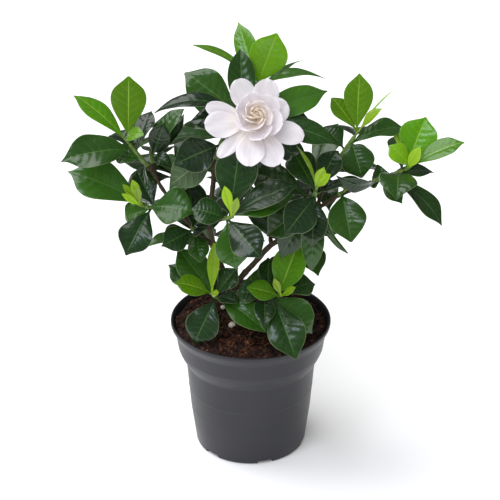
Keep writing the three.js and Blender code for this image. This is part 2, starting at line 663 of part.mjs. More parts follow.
const trunkHole = bar(
  [V(FOOT.x, FOOT.y, FOOT.z - FIT), V(-16, 5, 85), COLLAR],
  (TRUNK_RADIUS + FIT) / Math.cos(Math.PI / 8), (TRUNK_RADIUS + FIT) / Math.cos(Math.PI / 8), 8);
makePot();
makeSoil(trunkHole);
makeShoots();
makeWood();
makeBloom();
makeCalyx();
growLeaves();

export default plant;
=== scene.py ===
"""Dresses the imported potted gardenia: leaves, petals, bark, peat and pot as the eye sees them.

Sizes are in millimetres and turn to metres where a mesh is made. The front of the bush faces -Y.
"""
import math

import bmesh
import bpy
import numpy as np
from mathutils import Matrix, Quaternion, Vector, kdtree


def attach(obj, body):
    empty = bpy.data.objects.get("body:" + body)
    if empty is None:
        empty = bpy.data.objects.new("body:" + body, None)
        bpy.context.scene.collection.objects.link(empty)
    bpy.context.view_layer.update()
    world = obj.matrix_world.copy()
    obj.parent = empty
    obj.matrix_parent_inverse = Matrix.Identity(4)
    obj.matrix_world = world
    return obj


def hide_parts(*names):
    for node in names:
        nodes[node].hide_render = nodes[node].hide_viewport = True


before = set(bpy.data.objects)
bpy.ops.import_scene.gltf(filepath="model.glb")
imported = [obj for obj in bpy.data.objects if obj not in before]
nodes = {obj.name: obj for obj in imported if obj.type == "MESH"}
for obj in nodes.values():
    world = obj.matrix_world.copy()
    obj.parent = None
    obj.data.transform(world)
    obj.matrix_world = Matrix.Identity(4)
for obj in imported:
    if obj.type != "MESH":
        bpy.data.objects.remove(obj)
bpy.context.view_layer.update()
scene = bpy.context.scene
MM = 0.001
LOOK_DOWN = math.radians(28)  # how steeply someone at the front looks down at the rim


# ---------------------------------------------------------------- small helpers

def seen(right, up, near):
    """A direction given as someone at the front sees it: right, up across the view, and nearer."""
    s, c = math.sin(LOOK_DOWN), math.cos(LOOK_DOWN)
    return Vector((right, up * s - near * c, up * c + near * s))


def chance(n):
    """An even spread of numbers from 0 to 1, always the same for the same n."""
    v = math.sin(n * 12.9898) * 43758.5453
    return v - math.floor(v)


def srgb(code):
    """The linear colour of a #rrggbb value."""
    parts = [int(code[i:i + 2], 16) / 255 for i in (1, 3, 5)]
    return tuple(c / 12.92 if c <= 0.04045 else ((c + 0.055) / 1.055) ** 2.4 for c in parts) + (1.0,)


def add(tree, kind, links=None, **settings):
    """Adds a node. Settings are its properties; links sets its inputs, or joins them to other nodes."""
    made = tree.nodes.new(kind)
    for name, value in settings.items():
        setattr(made, name, value)
    for name, value in (links or {}).items():
        if isinstance(value, bpy.types.Node):
            value = value.outputs[0]
        if isinstance(value, bpy.types.NodeSocket):
            tree.links.new(value, made.inputs[name])
        else:
            made.inputs[name].default_value = value
    return made


def ramp(tree, fac, stops):
    """Sets a colour ramp's stops from (place, colour) pairs."""
    made = add(tree, "ShaderNodeValToRGB", {0: fac})
    elements = made.color_ramp.elements
    elements.remove(elements[1])
    elements[0].position = stops[0][0]
    elements[0].color = srgb(stops[0][1])
    for place, colour in stops[1:]:
        elements.new(place).color = srgb(colour)
    return made


def new_material(name):
    material = bpy.data.materials.new(name)
    material.use_nodes = True
    material.node_tree.nodes.clear()
    return material, material.node_tree


def mesh_object(name, points, faces, materials, smooth=True):
    """A mesh object at the origin from points in millimetres."""
    mesh = bpy.data.meshes.new(name)
    mesh.from_pydata((np.asarray(points) * MM).tolist(), [], faces)
    for material in materials:
        mesh.materials.append(material)
    mesh.polygons.foreach_set("use_smooth", [smooth] * len(mesh.polygons))
    mesh.update()
    made = bpy.data.objects.new(name, mesh)
    scene.collection.objects.link(made)
    return made


def applied(piece):
    """Turns a piece with live modifiers into a plain mesh of the same name."""
    bpy.context.view_layer.update()
    ready = bpy.data.meshes.new_from_object(piece.evaluated_get(bpy.context.evaluated_depsgraph_get()))
    name = piece.name
    bpy.data.objects.remove(piece)
    made = bpy.data.objects.new(name, ready)
    scene.collection.objects.link(made)
    return made


def dress(piece, slot, *replaced):
    """Makes a piece ride on the body and stand for its solids."""
    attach(piece, "root")
    if replaced:
        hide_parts(*replaced)


# ---------------------------------------------------------------- leaf materials

VEINS = 9  # pairs of side veins in a leaf
VEIN_SWEEP = 0.16  # how far towards the tip a side vein runs before it meets the edge


def leaf_pattern(tree):
    """How much a point on its blade lies on a side vein, on the midrib, and on the edge."""
    place = add(tree, "ShaderNodeSeparateXYZ", {0: add(tree, "ShaderNodeUVMap", uv_map="blade")})
    centred = add(tree, "ShaderNodeMath", {0: place.outputs[1], 1: 2.0, 2: -1.0}, operation="MULTIPLY_ADD")
    away = add(tree, "ShaderNodeMath", {0: centred}, operation="ABSOLUTE")
    swept = add(tree, "ShaderNodeMath", {0: away, 1: 1.3}, operation="POWER")
    level = add(tree, "ShaderNodeMath", {0: swept, 1: -VEIN_SWEEP, 2: place.outputs[0]},
                operation="MULTIPLY_ADD")
    phase = add(tree, "ShaderNodeMath", {0: level, 1: float(VEINS)}, operation="MULTIPLY")
    near = add(tree, "ShaderNodeMath", {0: phase, 1: 0.5}, operation="PINGPONG")
    side = add(tree, "ShaderNodeMapRange", {0: near, 1: 0.0, 2: 0.09, 3: 1.0, 4: 0.0},
               interpolation_type="SMOOTHSTEP")
    fade = add(tree, "ShaderNodeMapRange", {0: away, 1: 0.5, 2: 0.97, 3: 1.0, 4: 0.0})
    veins = add(tree, "ShaderNodeMath", {0: side, 1: fade}, operation="MULTIPLY")
    midrib = add(tree, "ShaderNodeMapRange", {0: away, 1: 0.012, 2: 0.05, 3: 1.0, 4: 0.0},
                 interpolation_type="SMOOTHSTEP")
    edge = add(tree, "ShaderNodeMapRange", {0: away, 1: 0.95, 2: 0.995, 3: 0.0, 4: 1.0},
               interpolation_type="SMOOTHSTEP")
    return veins, midrib, edge


def leaf_material(name, colours, vein_colour, roughness, coat, through, vein_share):
    """Living leaf. The upper face has a waxy skin that shines; veins are paler, and light passes through.

    colours run from an old leaf to the youngest, and `through` is the share of light let through. Clouds
    of tone are 11 mm wide and swellings 4 mm. The skin's cells are 1 mm wide, which is coarser than real
    ones, so that they show.
    """
    material, tree = new_material(name)
    veins, midrib, edge = leaf_pattern(tree)
    tone = add(tree, "ShaderNodeSeparateColor", {0: add(tree, "ShaderNodeAttribute", attribute_name="leaf")})
    place = add(tree, "ShaderNodeTexCoord").outputs["Object"]
    cloud = add(tree, "ShaderNodeTexNoise", {"Vector": place, "Scale": 90.0, "Detail": 3.0})
    age = add(tree, "ShaderNodeMath", {0: cloud, 1: 0.16, 2: tone.outputs[1]}, operation="MULTIPLY_ADD")
    blade = ramp(tree, age, colours)
    bright = add(tree, "ShaderNodeMapRange", {0: tone.outputs[0], 1: 0.0, 2: 1.0, 3: 0.68, 4: 1.26})
    toned = add(tree, "ShaderNodeHueSaturation", {"Value": bright.outputs[0], "Color": blade})
    rib = add(tree, "ShaderNodeMath", {0: midrib, 1: 0.75}, operation="MULTIPLY")
    side = add(tree, "ShaderNodeMath", {0: veins, 1: vein_share}, operation="MULTIPLY")
    lines = add(tree, "ShaderNodeMath", {0: rib, 1: side}, operation="MAXIMUM")
    veined = add(tree, "ShaderNodeMix", {0: lines, 6: toned, 7: srgb(vein_colour)}, data_type="RGBA")
    rim = add(tree, "ShaderNodeMath", {0: edge, 1: 0.3}, operation="MULTIPLY")
    colour = add(tree, "ShaderNodeMix", {0: rim, 6: veined.outputs[2], 7: srgb("#b3c98a")}, data_type="RGBA")

    cells = add(tree, "ShaderNodeTexVoronoi", {"Vector": place, "Scale": 900.0}, feature="DISTANCE_TO_EDGE")
    pits = add(tree, "ShaderNodeMath", {0: cells, 1: 0.25}, operation="MULTIPLY")
    sunk = add(tree, "ShaderNodeMath", {0: lines, 1: -0.5, 2: pits}, operation="MULTIPLY_ADD")
    wide = add(tree, "ShaderNodeTexNoise", {"Vector": place, "Scale": 240.0, "Detail": 2.0})
    height = add(tree, "ShaderNodeMath", {0: wide, 1: 0.9, 2: sunk}, operation="MULTIPLY_ADD")
    bump = add(tree, "ShaderNodeBump", {"Strength": 0.45, "Distance": 0.0005, "Height": height})
    shine = add(tree, "ShaderNodeMapRange",
                {0: wide, 1: 0.3, 2: 0.7, 3: roughness - 0.06, 4: roughness + 0.1})
    skin = add(tree, "ShaderNodeBsdfPrincipled", {
        "Base Color": colour.outputs[2], "Roughness": shine.outputs[0], "IOR": 1.42,
        "Coat Weight": coat, "Coat Roughness": 0.1, "Normal": bump,
    })
    glow = add(tree, "ShaderNodeHueSaturation",
               {"Saturation": 1.15, "Value": 1.6, "Color": colour.outputs[2]})
    lit = add(tree, "ShaderNodeBsdfTranslucent", {"Color": glow, "Normal": bump})
    both = add(tree, "ShaderNodeMixShader", {0: through, 1: skin, 2: lit})
    add(tree, "ShaderNodeOutputMaterial", {0: both})
    return material


OLD_COLOURS = [(0.0, "#152518"), (0.2, "#193313"), (0.5, "#294f13"), (1.0, "#447415")]
YOUNG_COLOURS = [(0.0, "#316206"), (0.45, "#528a05"), (0.8, "#78a60c"), (1.0, "#9aba2a")]
old_upper = leaf_material("old_leaf_upper_face", OLD_COLOURS, "#4c7236", 0.28, 0.3, 0.1, 0.2)
old_under = leaf_material("old_leaf_under_face", [(0.0, "#4c5f47"), (1.0, "#698a42")], "#8ea67c",
                          0.62, 0.0, 0.12, 0.45)
young_upper = leaf_material("young_leaf_upper_face", YOUNG_COLOURS, "#a0c04c", 0.28, 0.6, 0.33, 0.2)
young_under = leaf_material("young_leaf_under_face", [(0.0, "#517f1e"), (1.0, "#93b83a")], "#b3cf6c",
                            0.55, 0.0, 0.36, 0.45)


def petal_material():
    """Gardenia petal: thick, soft and matt, white with a lilac shade, cream towards the heart.

    Clouds of tone are 17 mm wide. Low folds run along the petal, 4 mm apart where it is 20 mm wide.
    """
    material, tree = new_material("gardenia_petal")
    place = add(tree, "ShaderNodeSeparateXYZ", {0: add(tree, "ShaderNodeUVMap", uv_map="blade")})
    tone = add(tree, "ShaderNodeSeparateColor", {0: add(tree, "ShaderNodeAttribute", attribute_name="leaf")})
    where = add(tree, "ShaderNodeTexCoord").outputs["Object"]
    cloud = add(tree, "ShaderNodeTexNoise", {"Vector": where, "Scale": 60.0, "Detail": 2.0})
    white = ramp(tree, cloud, [(0.3, "#f1edf1"), (0.7, "#f7f4f7")])
    inner = add(tree, "ShaderNodeMapRange", {0: place.outputs[0], 1: 0.0, 2: 0.6, 3: 0.4, 4: 0.0})
    cream_share = add(tree, "ShaderNodeMath", {0: tone.outputs[1], 1: inner}, operation="ADD", use_clamp=True)
    colour = add(tree, "ShaderNodeMix", {0: cream_share, 6: white, 7: srgb("#f8e8c8")}, data_type="RGBA")
    lines = add(tree, "ShaderNodeMath", {0: place.outputs[1], 1: 34.0}, operation="MULTIPLY")
    wavy = add(tree, "ShaderNodeMath", {0: cloud, 1: 2.5, 2: lines}, operation="MULTIPLY_ADD")
    rill = add(tree, "ShaderNodeMath", {0: wavy}, operation="SINE")
    bump = add(tree, "ShaderNodeBump", {"Strength": 0.14, "Distance": 0.0004, "Height": rill})
    skin = add(tree, "ShaderNodeBsdfPrincipled", {
        "Base Color": colour.outputs[2], "Roughness": 0.6, "IOR": 1.4, "Sheen Weight": 0.15, "Normal": bump,
    })
    lit = add(tree, "ShaderNodeBsdfTranslucent", {"Color": colour.outputs[2], "Normal": bump})
    both = add(tree, "ShaderNodeMixShader", {0: 0.5, 1: skin, 2: lit})
    add(tree, "ShaderNodeOutputMaterial", {0: both})
    return material


petal_skin = petal_material()


# ---------------------------------------------------------------- blades

LEAF = {"base": 0.85, "stalk": 0.07}
PETAL = {"widest": 0.64, "base": 0.75, "tip": 0.5, "stalk": 0.0, "point": 0.0}
STALK_WIDTH = 1.8
SOLID_THICKNESS = 0.7  # of the blades in the solids
TWIG_RADIUS = 1.7
BLADE_END = 0.99  # share of its length at which a fine blade ends, just inside the solid
EDGE_CROWDING = 0.93  # towards 1, the columns of a blade stand closer together at its edges
# Rows along a blade and columns across it
YOUNG_GRID = (44, 15)
OLD_GRID = (50, 15)
HIDDEN_GRID = (36, 11)
PETAL_GRID = (34, 23)
UPPER, UNDER, TWIG = 0, 1, 2  # places of the materials of a leafy piece


def spread(form, t):
    """Share of a blade's full width at shares t of its length."""
    u = np.clip((t - form["stalk"]) / (1 - form["stalk"]), 0, 1)
    arc = np.maximum(np.sin(np.pi * u ** (math.log(0.5) / math.log(form["widest"]))), 0)
    point = 1 - form["point"] * np.clip((t - 0.8) / 0.15, 0, 1) ** 1.5
    return np.where(u < form["widest"], arc ** form["base"], arc ** form["tip"]) * point


def stance(root, tip, face):
    """Where a blade stands: its root, length, way to the tip, and upper face."""
    along = tip - root
    length = along.length
    along.normalize()
    up = (face - along * face.dot(along)).normalized()
    return {"root": root, "length": length, "along": along, "up": up}


def turned(pose, pitch, yaw, size):
    """The same blade turned about its root: pitch lifts the tip, yaw swings it sideways."""
    side = pose["along"].cross(pose["up"])
    lift = Quaternion(side, math.radians(pitch))
    swing = Quaternion(pose["up"], math.radians(yaw))
    return {"root": pose["root"], "length": pose["length"] * size,
            "along": swing @ (lift @ pose["along"]), "up": lift @ pose["up"]}


class Blades:
    """Collects the closed blades of one piece."""

    def __init__(self):
        self.points, self.faces, self.slots, self.uv, self.tone = [], [], [], [], []
        self.count = 0

    def add(self, pose, shape, rows, columns, thickness, tone, age, slots=(UPPER, UNDER)):
        """One blade: rows along it, columns across it, both faces, and its edge."""
        x = np.linspace(0, 1, rows)
        t = (1 - (1 - x) ** shape.get("crowd", 1.25)) * BLADE_END
        s = np.sin(np.linspace(-1, 1, columns) * math.pi / 2 * EDGE_CROWDING)
        s /= math.sin(math.pi / 2 * EDGE_CROWDING)
        T, S = np.meshgrid(t, s, indexing="ij")
        half = 0.5 * shape["width"] * spread(shape["form"], T)
        half = np.maximum(half, np.where(T < 0.3, 0.5 * STALK_WIDTH, 0.12))
        bow = shape["arch"] * pose["length"] * 4 * T * (1 - T)
        wave = shape["wave"] * half * np.sin(2 * np.pi * (1.6 * T + shape["phase"] + 0.3 * S)) * S * S
        rise = half * (shape["fold"] * np.abs(S) - shape["curl"] * S * S) + wave
        rise = rise + shape["relief"](T, S, half) if "relief" in shape else rise
        up, along = np.array(pose["up"]), np.array(pose["along"])
        side = np.cross(along, up)
        middle = (np.array(pose["root"]) + along * (pose["length"] * T)[..., None]
                  + side * (half * S)[..., None] + up * (bow + rise)[..., None])
        thick = np.interp(T, [0, 0.12, 1], [1.2, thickness, thickness * 0.7]) * (1 - 0.45 * np.abs(S) ** 3)
        top = middle + up * (thick / 2)[..., None]
        low = middle - up * (thick / 2)[..., None]
        base, n = self.count, rows * columns
        self.points += [top.reshape(-1, 3), low.reshape(-1, 3)]
        uv = np.stack([T, 0.5 + 0.5 * S], -1).reshape(-1, 2)
        self.uv += [uv, uv]
        self.tone.append(np.tile([tone, age, 0.0, 1.0], (2 * n, 1)))
        self.count += 2 * n
        at = base + np.arange(n).reshape(rows, columns)
        a, b, c, d = at[:-1, 1:], at[1:, 1:], at[1:, :-1], at[:-1, :-1]
        upper = np.stack([a, b, c, d], -1).reshape(-1, 4)
        under = np.stack([d, c, b, a], -1).reshape(-1, 4) + n
        left = np.stack([at[:-1, 0], at[1:, 0], at[1:, 0] + n, at[:-1, 0] + n], -1)
        right = np.stack([at[:-1, -1], at[:-1, -1] + n, at[1:, -1] + n, at[1:, -1]], -1)
        start = np.stack([at[0, :-1], at[0, :-1] + n, at[0, 1:] + n, at[0, 1:]], -1)
        end = np.stack([at[-1, :-1], at[-1, 1:], at[-1, 1:] + n, at[-1, :-1] + n], -1)
        for quads, face in ((upper, UPPER), (under, UNDER), (left, UPPER), (right, UPPER),
                            (start, UPPER), (end, UPPER)):
            self.faces.append(quads)
            self.slots.append(np.full(len(quads), slots[face]))

    def tube(self, start, end, radii, slot, tone, age, sides=10):
        """A straight closed stem from start to end with radii along it."""
        start, end = np.array(start), np.array(end)
        along = (end - start) / np.linalg.norm(end - start)
        side = np.cross(along, [0.3, 0.5, 0.81])
        side /= np.linalg.norm(side)
        other = np.cross(along, side)
        rings = len(radii)
        turn = np.linspace(0, 2 * np.pi, sides, endpoint=False)
        circle = np.cos(turn)[:, None] * side + np.sin(turn)[:, None] * other
        share = np.linspace(0, 1, rings)
        points = start + np.outer(share, end - start)[:, None, :] + circle * np.array(radii)[:, None, None]
        base = self.count
        self.points += [points.reshape(-1, 3), np.array([start, end])]
        n = rings * sides
        self.uv.append(np.zeros((n + 2, 2)) + [0.3, 0.75])
        self.tone.append(np.tile([tone, age, 0.0, 1.0], (n + 2, 1)))
        self.count += n + 2
        at = base + np.arange(n).reshape(rings, sides)
        nxt = np.roll(at, -1, axis=1)
        walls = np.stack([at[:-1], nxt[:-1], nxt[1:], at[1:]], -1).reshape(-1, 4)
        self.faces.append(walls)
        caps = [[base + n, nxt[0, j], at[0, j]] for j in range(sides)]
        caps += [[at[-1, j], nxt[-1, j], base + n + 1] for j in range(sides)]
        self.faces.append(np.array(caps))
        self.slots += [np.full(len(walls), slot), np.full(len(caps), slot)]

    def piece(self, name, materials):
        """The finished mesh object."""
        faces = [tuple(face) for block in self.faces for face in block.tolist()]
        made = mesh_object(name, np.concatenate(self.points), faces, materials)
        mesh = made.data
        mesh.polygons.foreach_set("material_index", np.concatenate(self.slots).astype(np.int32))
        corner = np.empty(len(mesh.loops), np.int32)
        mesh.loops.foreach_get("vertex_index", corner)
        layer = mesh.uv_layers.new(name="blade")
        layer.data.foreach_set("uv", np.concatenate(self.uv)[corner].astype(np.float32).ravel())
        colour = mesh.color_attributes.new("leaf", "FLOAT_COLOR", "POINT")
        colour.data.foreach_set("color", np.concatenate(self.tone).astype(np.float32).ravel())
        return made


# ---------------------------------------------------------------- shoots

def back_shoot(name, tip, way):
    """A shoot at the back, whose six leaves follow a rule."""
    return dict(name=name, tip=tip, green=12, way=way, old=[], young=[], behind=0, whorl=6)


# Each shoot grows from the wood along `way` to its node `tip`; the last `green` of it carries the leaves.
# A leaf is listed as its tip seen from the node (right, up, near), its width, the turn of its upper face
# about its length, and its bow as a share of its length.
SHOOTS = [
    dict(name="left_top", tip=(-94, 0, 268), green=24,
         way=[(-28, -5, 180), (-40, -2, 190), (-55, 0, 208), (-69, 0, 229), (-76, 0, 243)],
         old=[[-50, -9, 20, 31, 15, 0.08], [16, 29, -24, 18, -30, 0.05], [-18, 8, -22, 16, 40, 0.2],
              [-13, -8, -8, 18, 20, 0.1], [16, -34, 6, 8, 60, 0.05]],
         young=[[0, 52, 8, 28, 0, -0.05], [-44, 39, -8, 21, 35, 0.06], [12, 6, 24, 13, -20, 0.15]], behind=1),
    dict(name="left_inner", tip=(-79, 20, 253), green=12, way=[(-74, 0, 238), (-76, 8, 243)],
         old=[[26, 33, 6, 22, -35, 0.08], [12, 20, 20, 17, 20, 0.05], [18, -14, 16, 12, -10, 0.3],
              [27, 30, -16, 11, 60, 0.02]],
         young=[], behind=1),
    dict(name="left_low", tip=(-82, -20, 224), green=14, way=[(-55, 0, 208), (-64, -6, 213)],
         old=[[39, -4, 12, 32, -12, 0.08], [-61, 28, -6, 34, 12, 0.08], [-14, -38, 14, 27, 0, 0.1],
              [-18, -9, -16, 20, 20, 0.1], [-7, 34, -8, 22, 5, 0.03]],
         young=[[-17, 17, 6, 7, 20, 0], [-10, 21, 4, 7, 0, 0], [-19, 9, 10, 6, 10, 0],
                [-6, 15, 9, 6, 0, 0]], behind=1),
    dict(name="under_bloom", tip=(-22, -13, 278), green=18, way=[(-29, -9, 246), (-29.5, -11, 252)],
         old=[[-36, -20, 14, 28, -10, 0.08], [-40, -36, 4, 26, 160, 0.08], [-50, -35, -16, 22, 10, 0.1]],
         young=[], behind=1),
    dict(name="bloom_stem", tip=(-4, -10, 295), green=10, way=[(-16, -2, 276), (-12, -4, 281)],
         old=[[-47, 35, -4, 29, 0, 0.06], [-70, 3, 4, 17, 35, 0.22], [-44, -3, -8, 19, 10, 0.1],
              [-4, 54, -14, 22, 5, 0], [63, 21, 4, 22, 10, 0.14], [50, -2, -8, 30, -10, 0.08],
              [70, -21, 8, 25, -20, 0.12], [8, -42, -22, 26, 0, 0.1]],
         young=[], behind=0),
    dict(name="crown", tip=(4, 20, 306), green=14, way=[(-16, -2, 276), (-10, 6, 286)],
         old=[[54, 7, 4, 15, -50, 0.18], [37, 24, -10, 11, -61, 0.05]],
         young=[[16, 41, 14, 30, 5, -0.04], [-50, 34, -2, 14, 50, 0.12], [-14, 54, -18, 18, -15, 0.03]],
         behind=1),
    dict(name="centre", tip=(-15, -45, 227), green=14, way=[(-33, -10, 205), (-28, -22, 213)],
         old=[[-5, 57, 0, 33, 0, 0.05], [50, 25, 6, 25, -25, 0.08], [48, 17, -10, 27, -20, 0.08],
              [22, -30, 20, 27, 10, 0.08], [4, -40, -6, 27, 0, 0.1], [-31, 5, -12, 24, 15, 0.1],
              [12, 38, -14, 16, 10, 0.05]],
         young=[[-5, 24, 6, 8, 0, 0], [5, 15, 10, 6, 0, 0]], behind=1),
    dict(name="centre_left", tip=(-47, -9, 200), green=9, way=[(-38, -3, 188), (-40, -4, 190)],
         old=[[-23, -15, 10, 21, -10, 0.1], [-22, -10, -14, 20, 10, 0.1], [21, -9, 14, 18, -10, 0.1],
              [8, -27, 12, 17, 0, 0.1]],
         young=[], behind=2),
    dict(name="low_left", tip=(-30, -25, 148), green=12, way=[(-15, 2, 122), (-20, -10, 132)],
         old=[[-29, 38, -8, 26, 10, 0.05], [-36, 24, -12, 26, 20, 0.1], [20, 22, -4, 19, -20, 0.05],
              [19, -3, 10, 15, -30, 0.1], [-15, -39, -2, 27, 0, 0.08], [0, 28, -18, 18, 10, 0.05],
              [42, -29, 10, 23, -15, 0.12]],
         young=[[1, 42, 6, 10, 15, 0], [-30, 10, 14, 19, 20, 0.12], [5, 2, 16, 6, 0, 0]], behind=0),
    dict(name="low_right", tip=(20, -30, 150), green=14, way=[(-14, -5, 142), (-2, -15, 144)],
         old=[[23, 20, -14, 20, -25, 0.05], [31, 6, -16, 22, -25, 0.1], [15, -48, 26, 30, 0, 0.1],
              [29, -28, 6, 30, 0, 0.1], [-1, -38, 2, 21, 0, 0.1], [-31, -2, -10, 21, 20, 0.1],
              [-6, 31, -14, 17, 10, 0.05], [-18, 22, -20, 20, 10, 0.1], [-9, -25, 22, 17, 0, 0.12]],
         young=[[18, 44, 8, 27, -10, 0], [-23, 7, 14, 17, 10, 0.1], [15, 7, 16, 7, -20, 0],
                [-2, 14, 8, 6, 0, 0]], behind=0),
    dict(name="right_mid", tip=(50, -25, 240), green=16, way=[(44, -12, 208), (47, -17, 216)],
         old=[[-17, 33, -4, 25, 10, 0.05], [17, 32, -6, 20, -10, 0.05], [38, 9, -6, 14, -40, 0.1],
              [-24, -34, 18, 27, -10, 0.1], [-3, -43, 2, 22, 0, 0.1], [19, -51, 4, 10, 60, 0.1],
              [-51, 19, -8, 28, 10, 0.08], [-3, -63, -6, 18, 0, 0.08], [-38, -35, -14, 25, 0, 0.1],
              [-29, -53, -18, 21, 0, 0.1]],
         young=[[6, 18, 8, 9, 0, 0], [15, 11, 10, 9, -20, 0.05], [-15, 35, -4, 8, 60, 0.05]], behind=0),
    dict(name="right_hanging", tip=(71, -19, 236), green=5, way=[(64, -15, 228), (65.5, -16, 230)],
         old=[[6, -39, 12, 30, 0, 0.08]],
         young=[[7, 8, 6, 6, 0, 0], [-3, 9, 4, 5, 0, 0]], behind=0),
    dict(name="right_top", tip=(81, 5, 273), green=20, way=[(51, -15, 219), (58, -6, 238), (64, -1, 249)],
         old=[[5, -33, 4, 27, 0, 0.08], [38, 12, -6, 21, -30, 0.12], [-25, 7, -10, 22, 20, 0.1]],
         young=[[3, 48, 4, 23, 0, 0], [-18, 30, -4, 18, 20, 0.03], [31, 36, -6, 8, -75, 0.05],
                [20, 20, 12, 11, -40, 0.05]], behind=1),
    dict(name="right_end", tip=(118, -10, 250), green=26,
         way=[(51, -15, 219), (64, -15, 228), (76, -13, 234), (88, -12, 239)],
         old=[[-8, -23, 34, 30, 0, 0.12], [-27, -6, -14, 20, 20, 0.1], [25, -1, -8, 16, -40, 0.1],
              [29, -43, 10, 21, -30, 0.15], [-2, -26, 12, 14, 0, 0.1], [-54, -2, 14, 14, -55, 0.2]],
         young=[[18, 42, -4, 30, -5, 0.03], [49, 17, 6, 20, -30, 0.08], [15, 21, 4, 9, 0, 0],
                [-8, 20, 10, 18, 20, 0.15], [-10, 37, -16, 11, 40, 0.05]], behind=1),
    back_shoot("back_middle", (14, 26, 206), [(16, -5, 182), (15, 10, 192)]),
    back_shoot("back_left", (-60, 46, 222), [(-55, 0, 208), (-57, 16, 212)]),
    back_shoot("back_high", (-20, 46, 258), [(-30, -9, 232), (-27, 14, 244)]),
    back_shoot("back_right", (54, 44, 224), [(32, -8, 194), (40, 14, 206)]),
    back_shoot("back_low_left", (-36, 44, 166), [(-15, 2, 122), (-22, 22, 140)]),
    back_shoot("back_low_right", (38, 44, 160), [(-15, 2, 122), (0, 22, 138)]),
]
OPENED_WIDTH = 13  # a young leaf at least this wide has unfolded
# A leaf whose solid would cut into another is turned about its root there, or made smaller, by these
TURNS = [(pitch, yaw) for pitch in (0, 9, -9, 18, -18, 27, -27, 36, -36) for yaw in (0, 12, -12)]
SIZES = (1, 0.8, 0.6)


def whorl_leaves(shoot, seed):
    """Ways to the leaf tips of a whorl at the back, most of them away from the front."""
    away = math.atan2(shoot["tip"].y, shoot["tip"].x)
    ways = []
    for i in range(shoot["whorl"]):
        turn = away + math.radians(-150 + 300 * (i + 0.5) / shoot["whorl"]) + 0.3 * (chance(seed + i) - 0.5)
        lift = math.radians(28 if i % 2 else -4) + 0.25 * (chance(seed + i + 40) - 0.5)
        way = Vector((math.cos(turn) * math.cos(lift), math.sin(turn) * math.cos(lift), math.sin(lift)))
        ways.append(way * (46 + 12 * chance(seed + i + 80)))
    return ways


def hidden_leaves(count, seed):
    """Ways to the leaf tips behind a listed shoot."""
    ways = []
    for i in range(count):
        turn = math.radians(90 + 45 * (i - (count - 1) / 2) + 20 * (chance(seed + i) - 0.5))
        way = Vector((math.cos(turn), math.sin(turn), 0.15)).normalized()
        ways.append(way * (42 + 10 * chance(seed + i + 40)))
    return ways


def leaf_shape(width, arch, seed, young):
    """A leaf's outline, fold, curl and waves, a little different for each seed."""
    form = {**LEAF, "widest": 0.5 + 0.14 * chance(seed + 5), "tip": 0.7 + 0.35 * chance(seed + 4),
            "point": (0.1 + 0.5 * chance(seed + 6)) * min(width / 20, 1)}
    return {
        "form": form, "width": width, "arch": arch,
        "fold": 0.2 + 0.16 * chance(seed), "curl": 0.12 + 0.1 * chance(seed + 1),
        "wave": 0.05 if young else 0.08 + 0.1 * chance(seed + 2), "phase": chance(seed + 3),
    }


def rooted(shoot, back, to_tip, face):
    """The stance of a leaf whose stalk leaves the twig `back` behind the node."""
    out = to_tip.normalized() - 0.6 * face
    out -= shoot["axis"] * out.dot(shoot["axis"])
    root = shoot["tip"] - shoot["axis"] * back + out.normalized() * (0.15 * TWIG_RADIUS)
    return stance(root, shoot["tip"] + to_tip, face)


def listed_pose(shoot, row, back):
    """The stance of a leaf from its row in the list."""
    to_tip = seen(*row[:3])
    face = Quaternion(to_tip.normalized(), math.radians(row[4])) @ seen(0, 0.22, 1)
    return rooted(shoot, back, to_tip, face.normalized())


def ruled_pose(shoot, to_tip, back):
    """The stance of a leaf that faces the sky."""
    level = Vector((to_tip.x, to_tip.y, 0)).normalized() * 0.35
    return rooted(shoot, back, to_tip, (level + Vector((0, 0, 1))).normalized())


def corners_of(node):
    """A tree of the corners of a solid, in millimetres."""
    mesh = nodes[node].data
    tree = kdtree.KDTree(len(mesh.vertices))
    for i, vertex in enumerate(mesh.vertices):
        tree.insert(vertex.co / MM, i)
    tree.balance()
    return tree


def settled(corners, pose, shape):
    """The stance and size in which the solid's leaf stands, found by its tip, or None if it has none."""
    for size in SIZES:
        for pitch, yaw in TURNS:
            tried = turned(pose, pitch, yaw, size)
            tip = tried["root"] + tried["along"] * tried["length"] + tried["up"] * (SOLID_THICKNESS / 2)
            if corners.find(tip)[2] < 0.1:
                return tried, {**shape, "width": shape["width"] * size}
    return None


def quilted(strength, hook):
    """The blade's relief: a sunk midrib, a low swelling between its side veins, and a tip that hooks down."""
    def relief(t, s, half):
        veins = np.cos(2 * np.pi * VEINS * (t - VEIN_SWEEP * np.abs(s) ** 1.3))
        inside = np.clip(np.abs(s) * 4, 0, 1) * np.clip((1 - np.abs(s)) * 3, 0, 1) * np.clip(t * 5, 0, 1)
        groove = np.exp(-(s * half / 0.7) ** 2) * np.clip((0.95 - t) * 4, 0, 1)
        tip = hook * np.clip((t - 0.82) / 0.18, 0, 1) ** 2
        return -strength * (veins * inside * np.minimum(half / 8, 1) + 1.4 * groove) - tip
    return relief


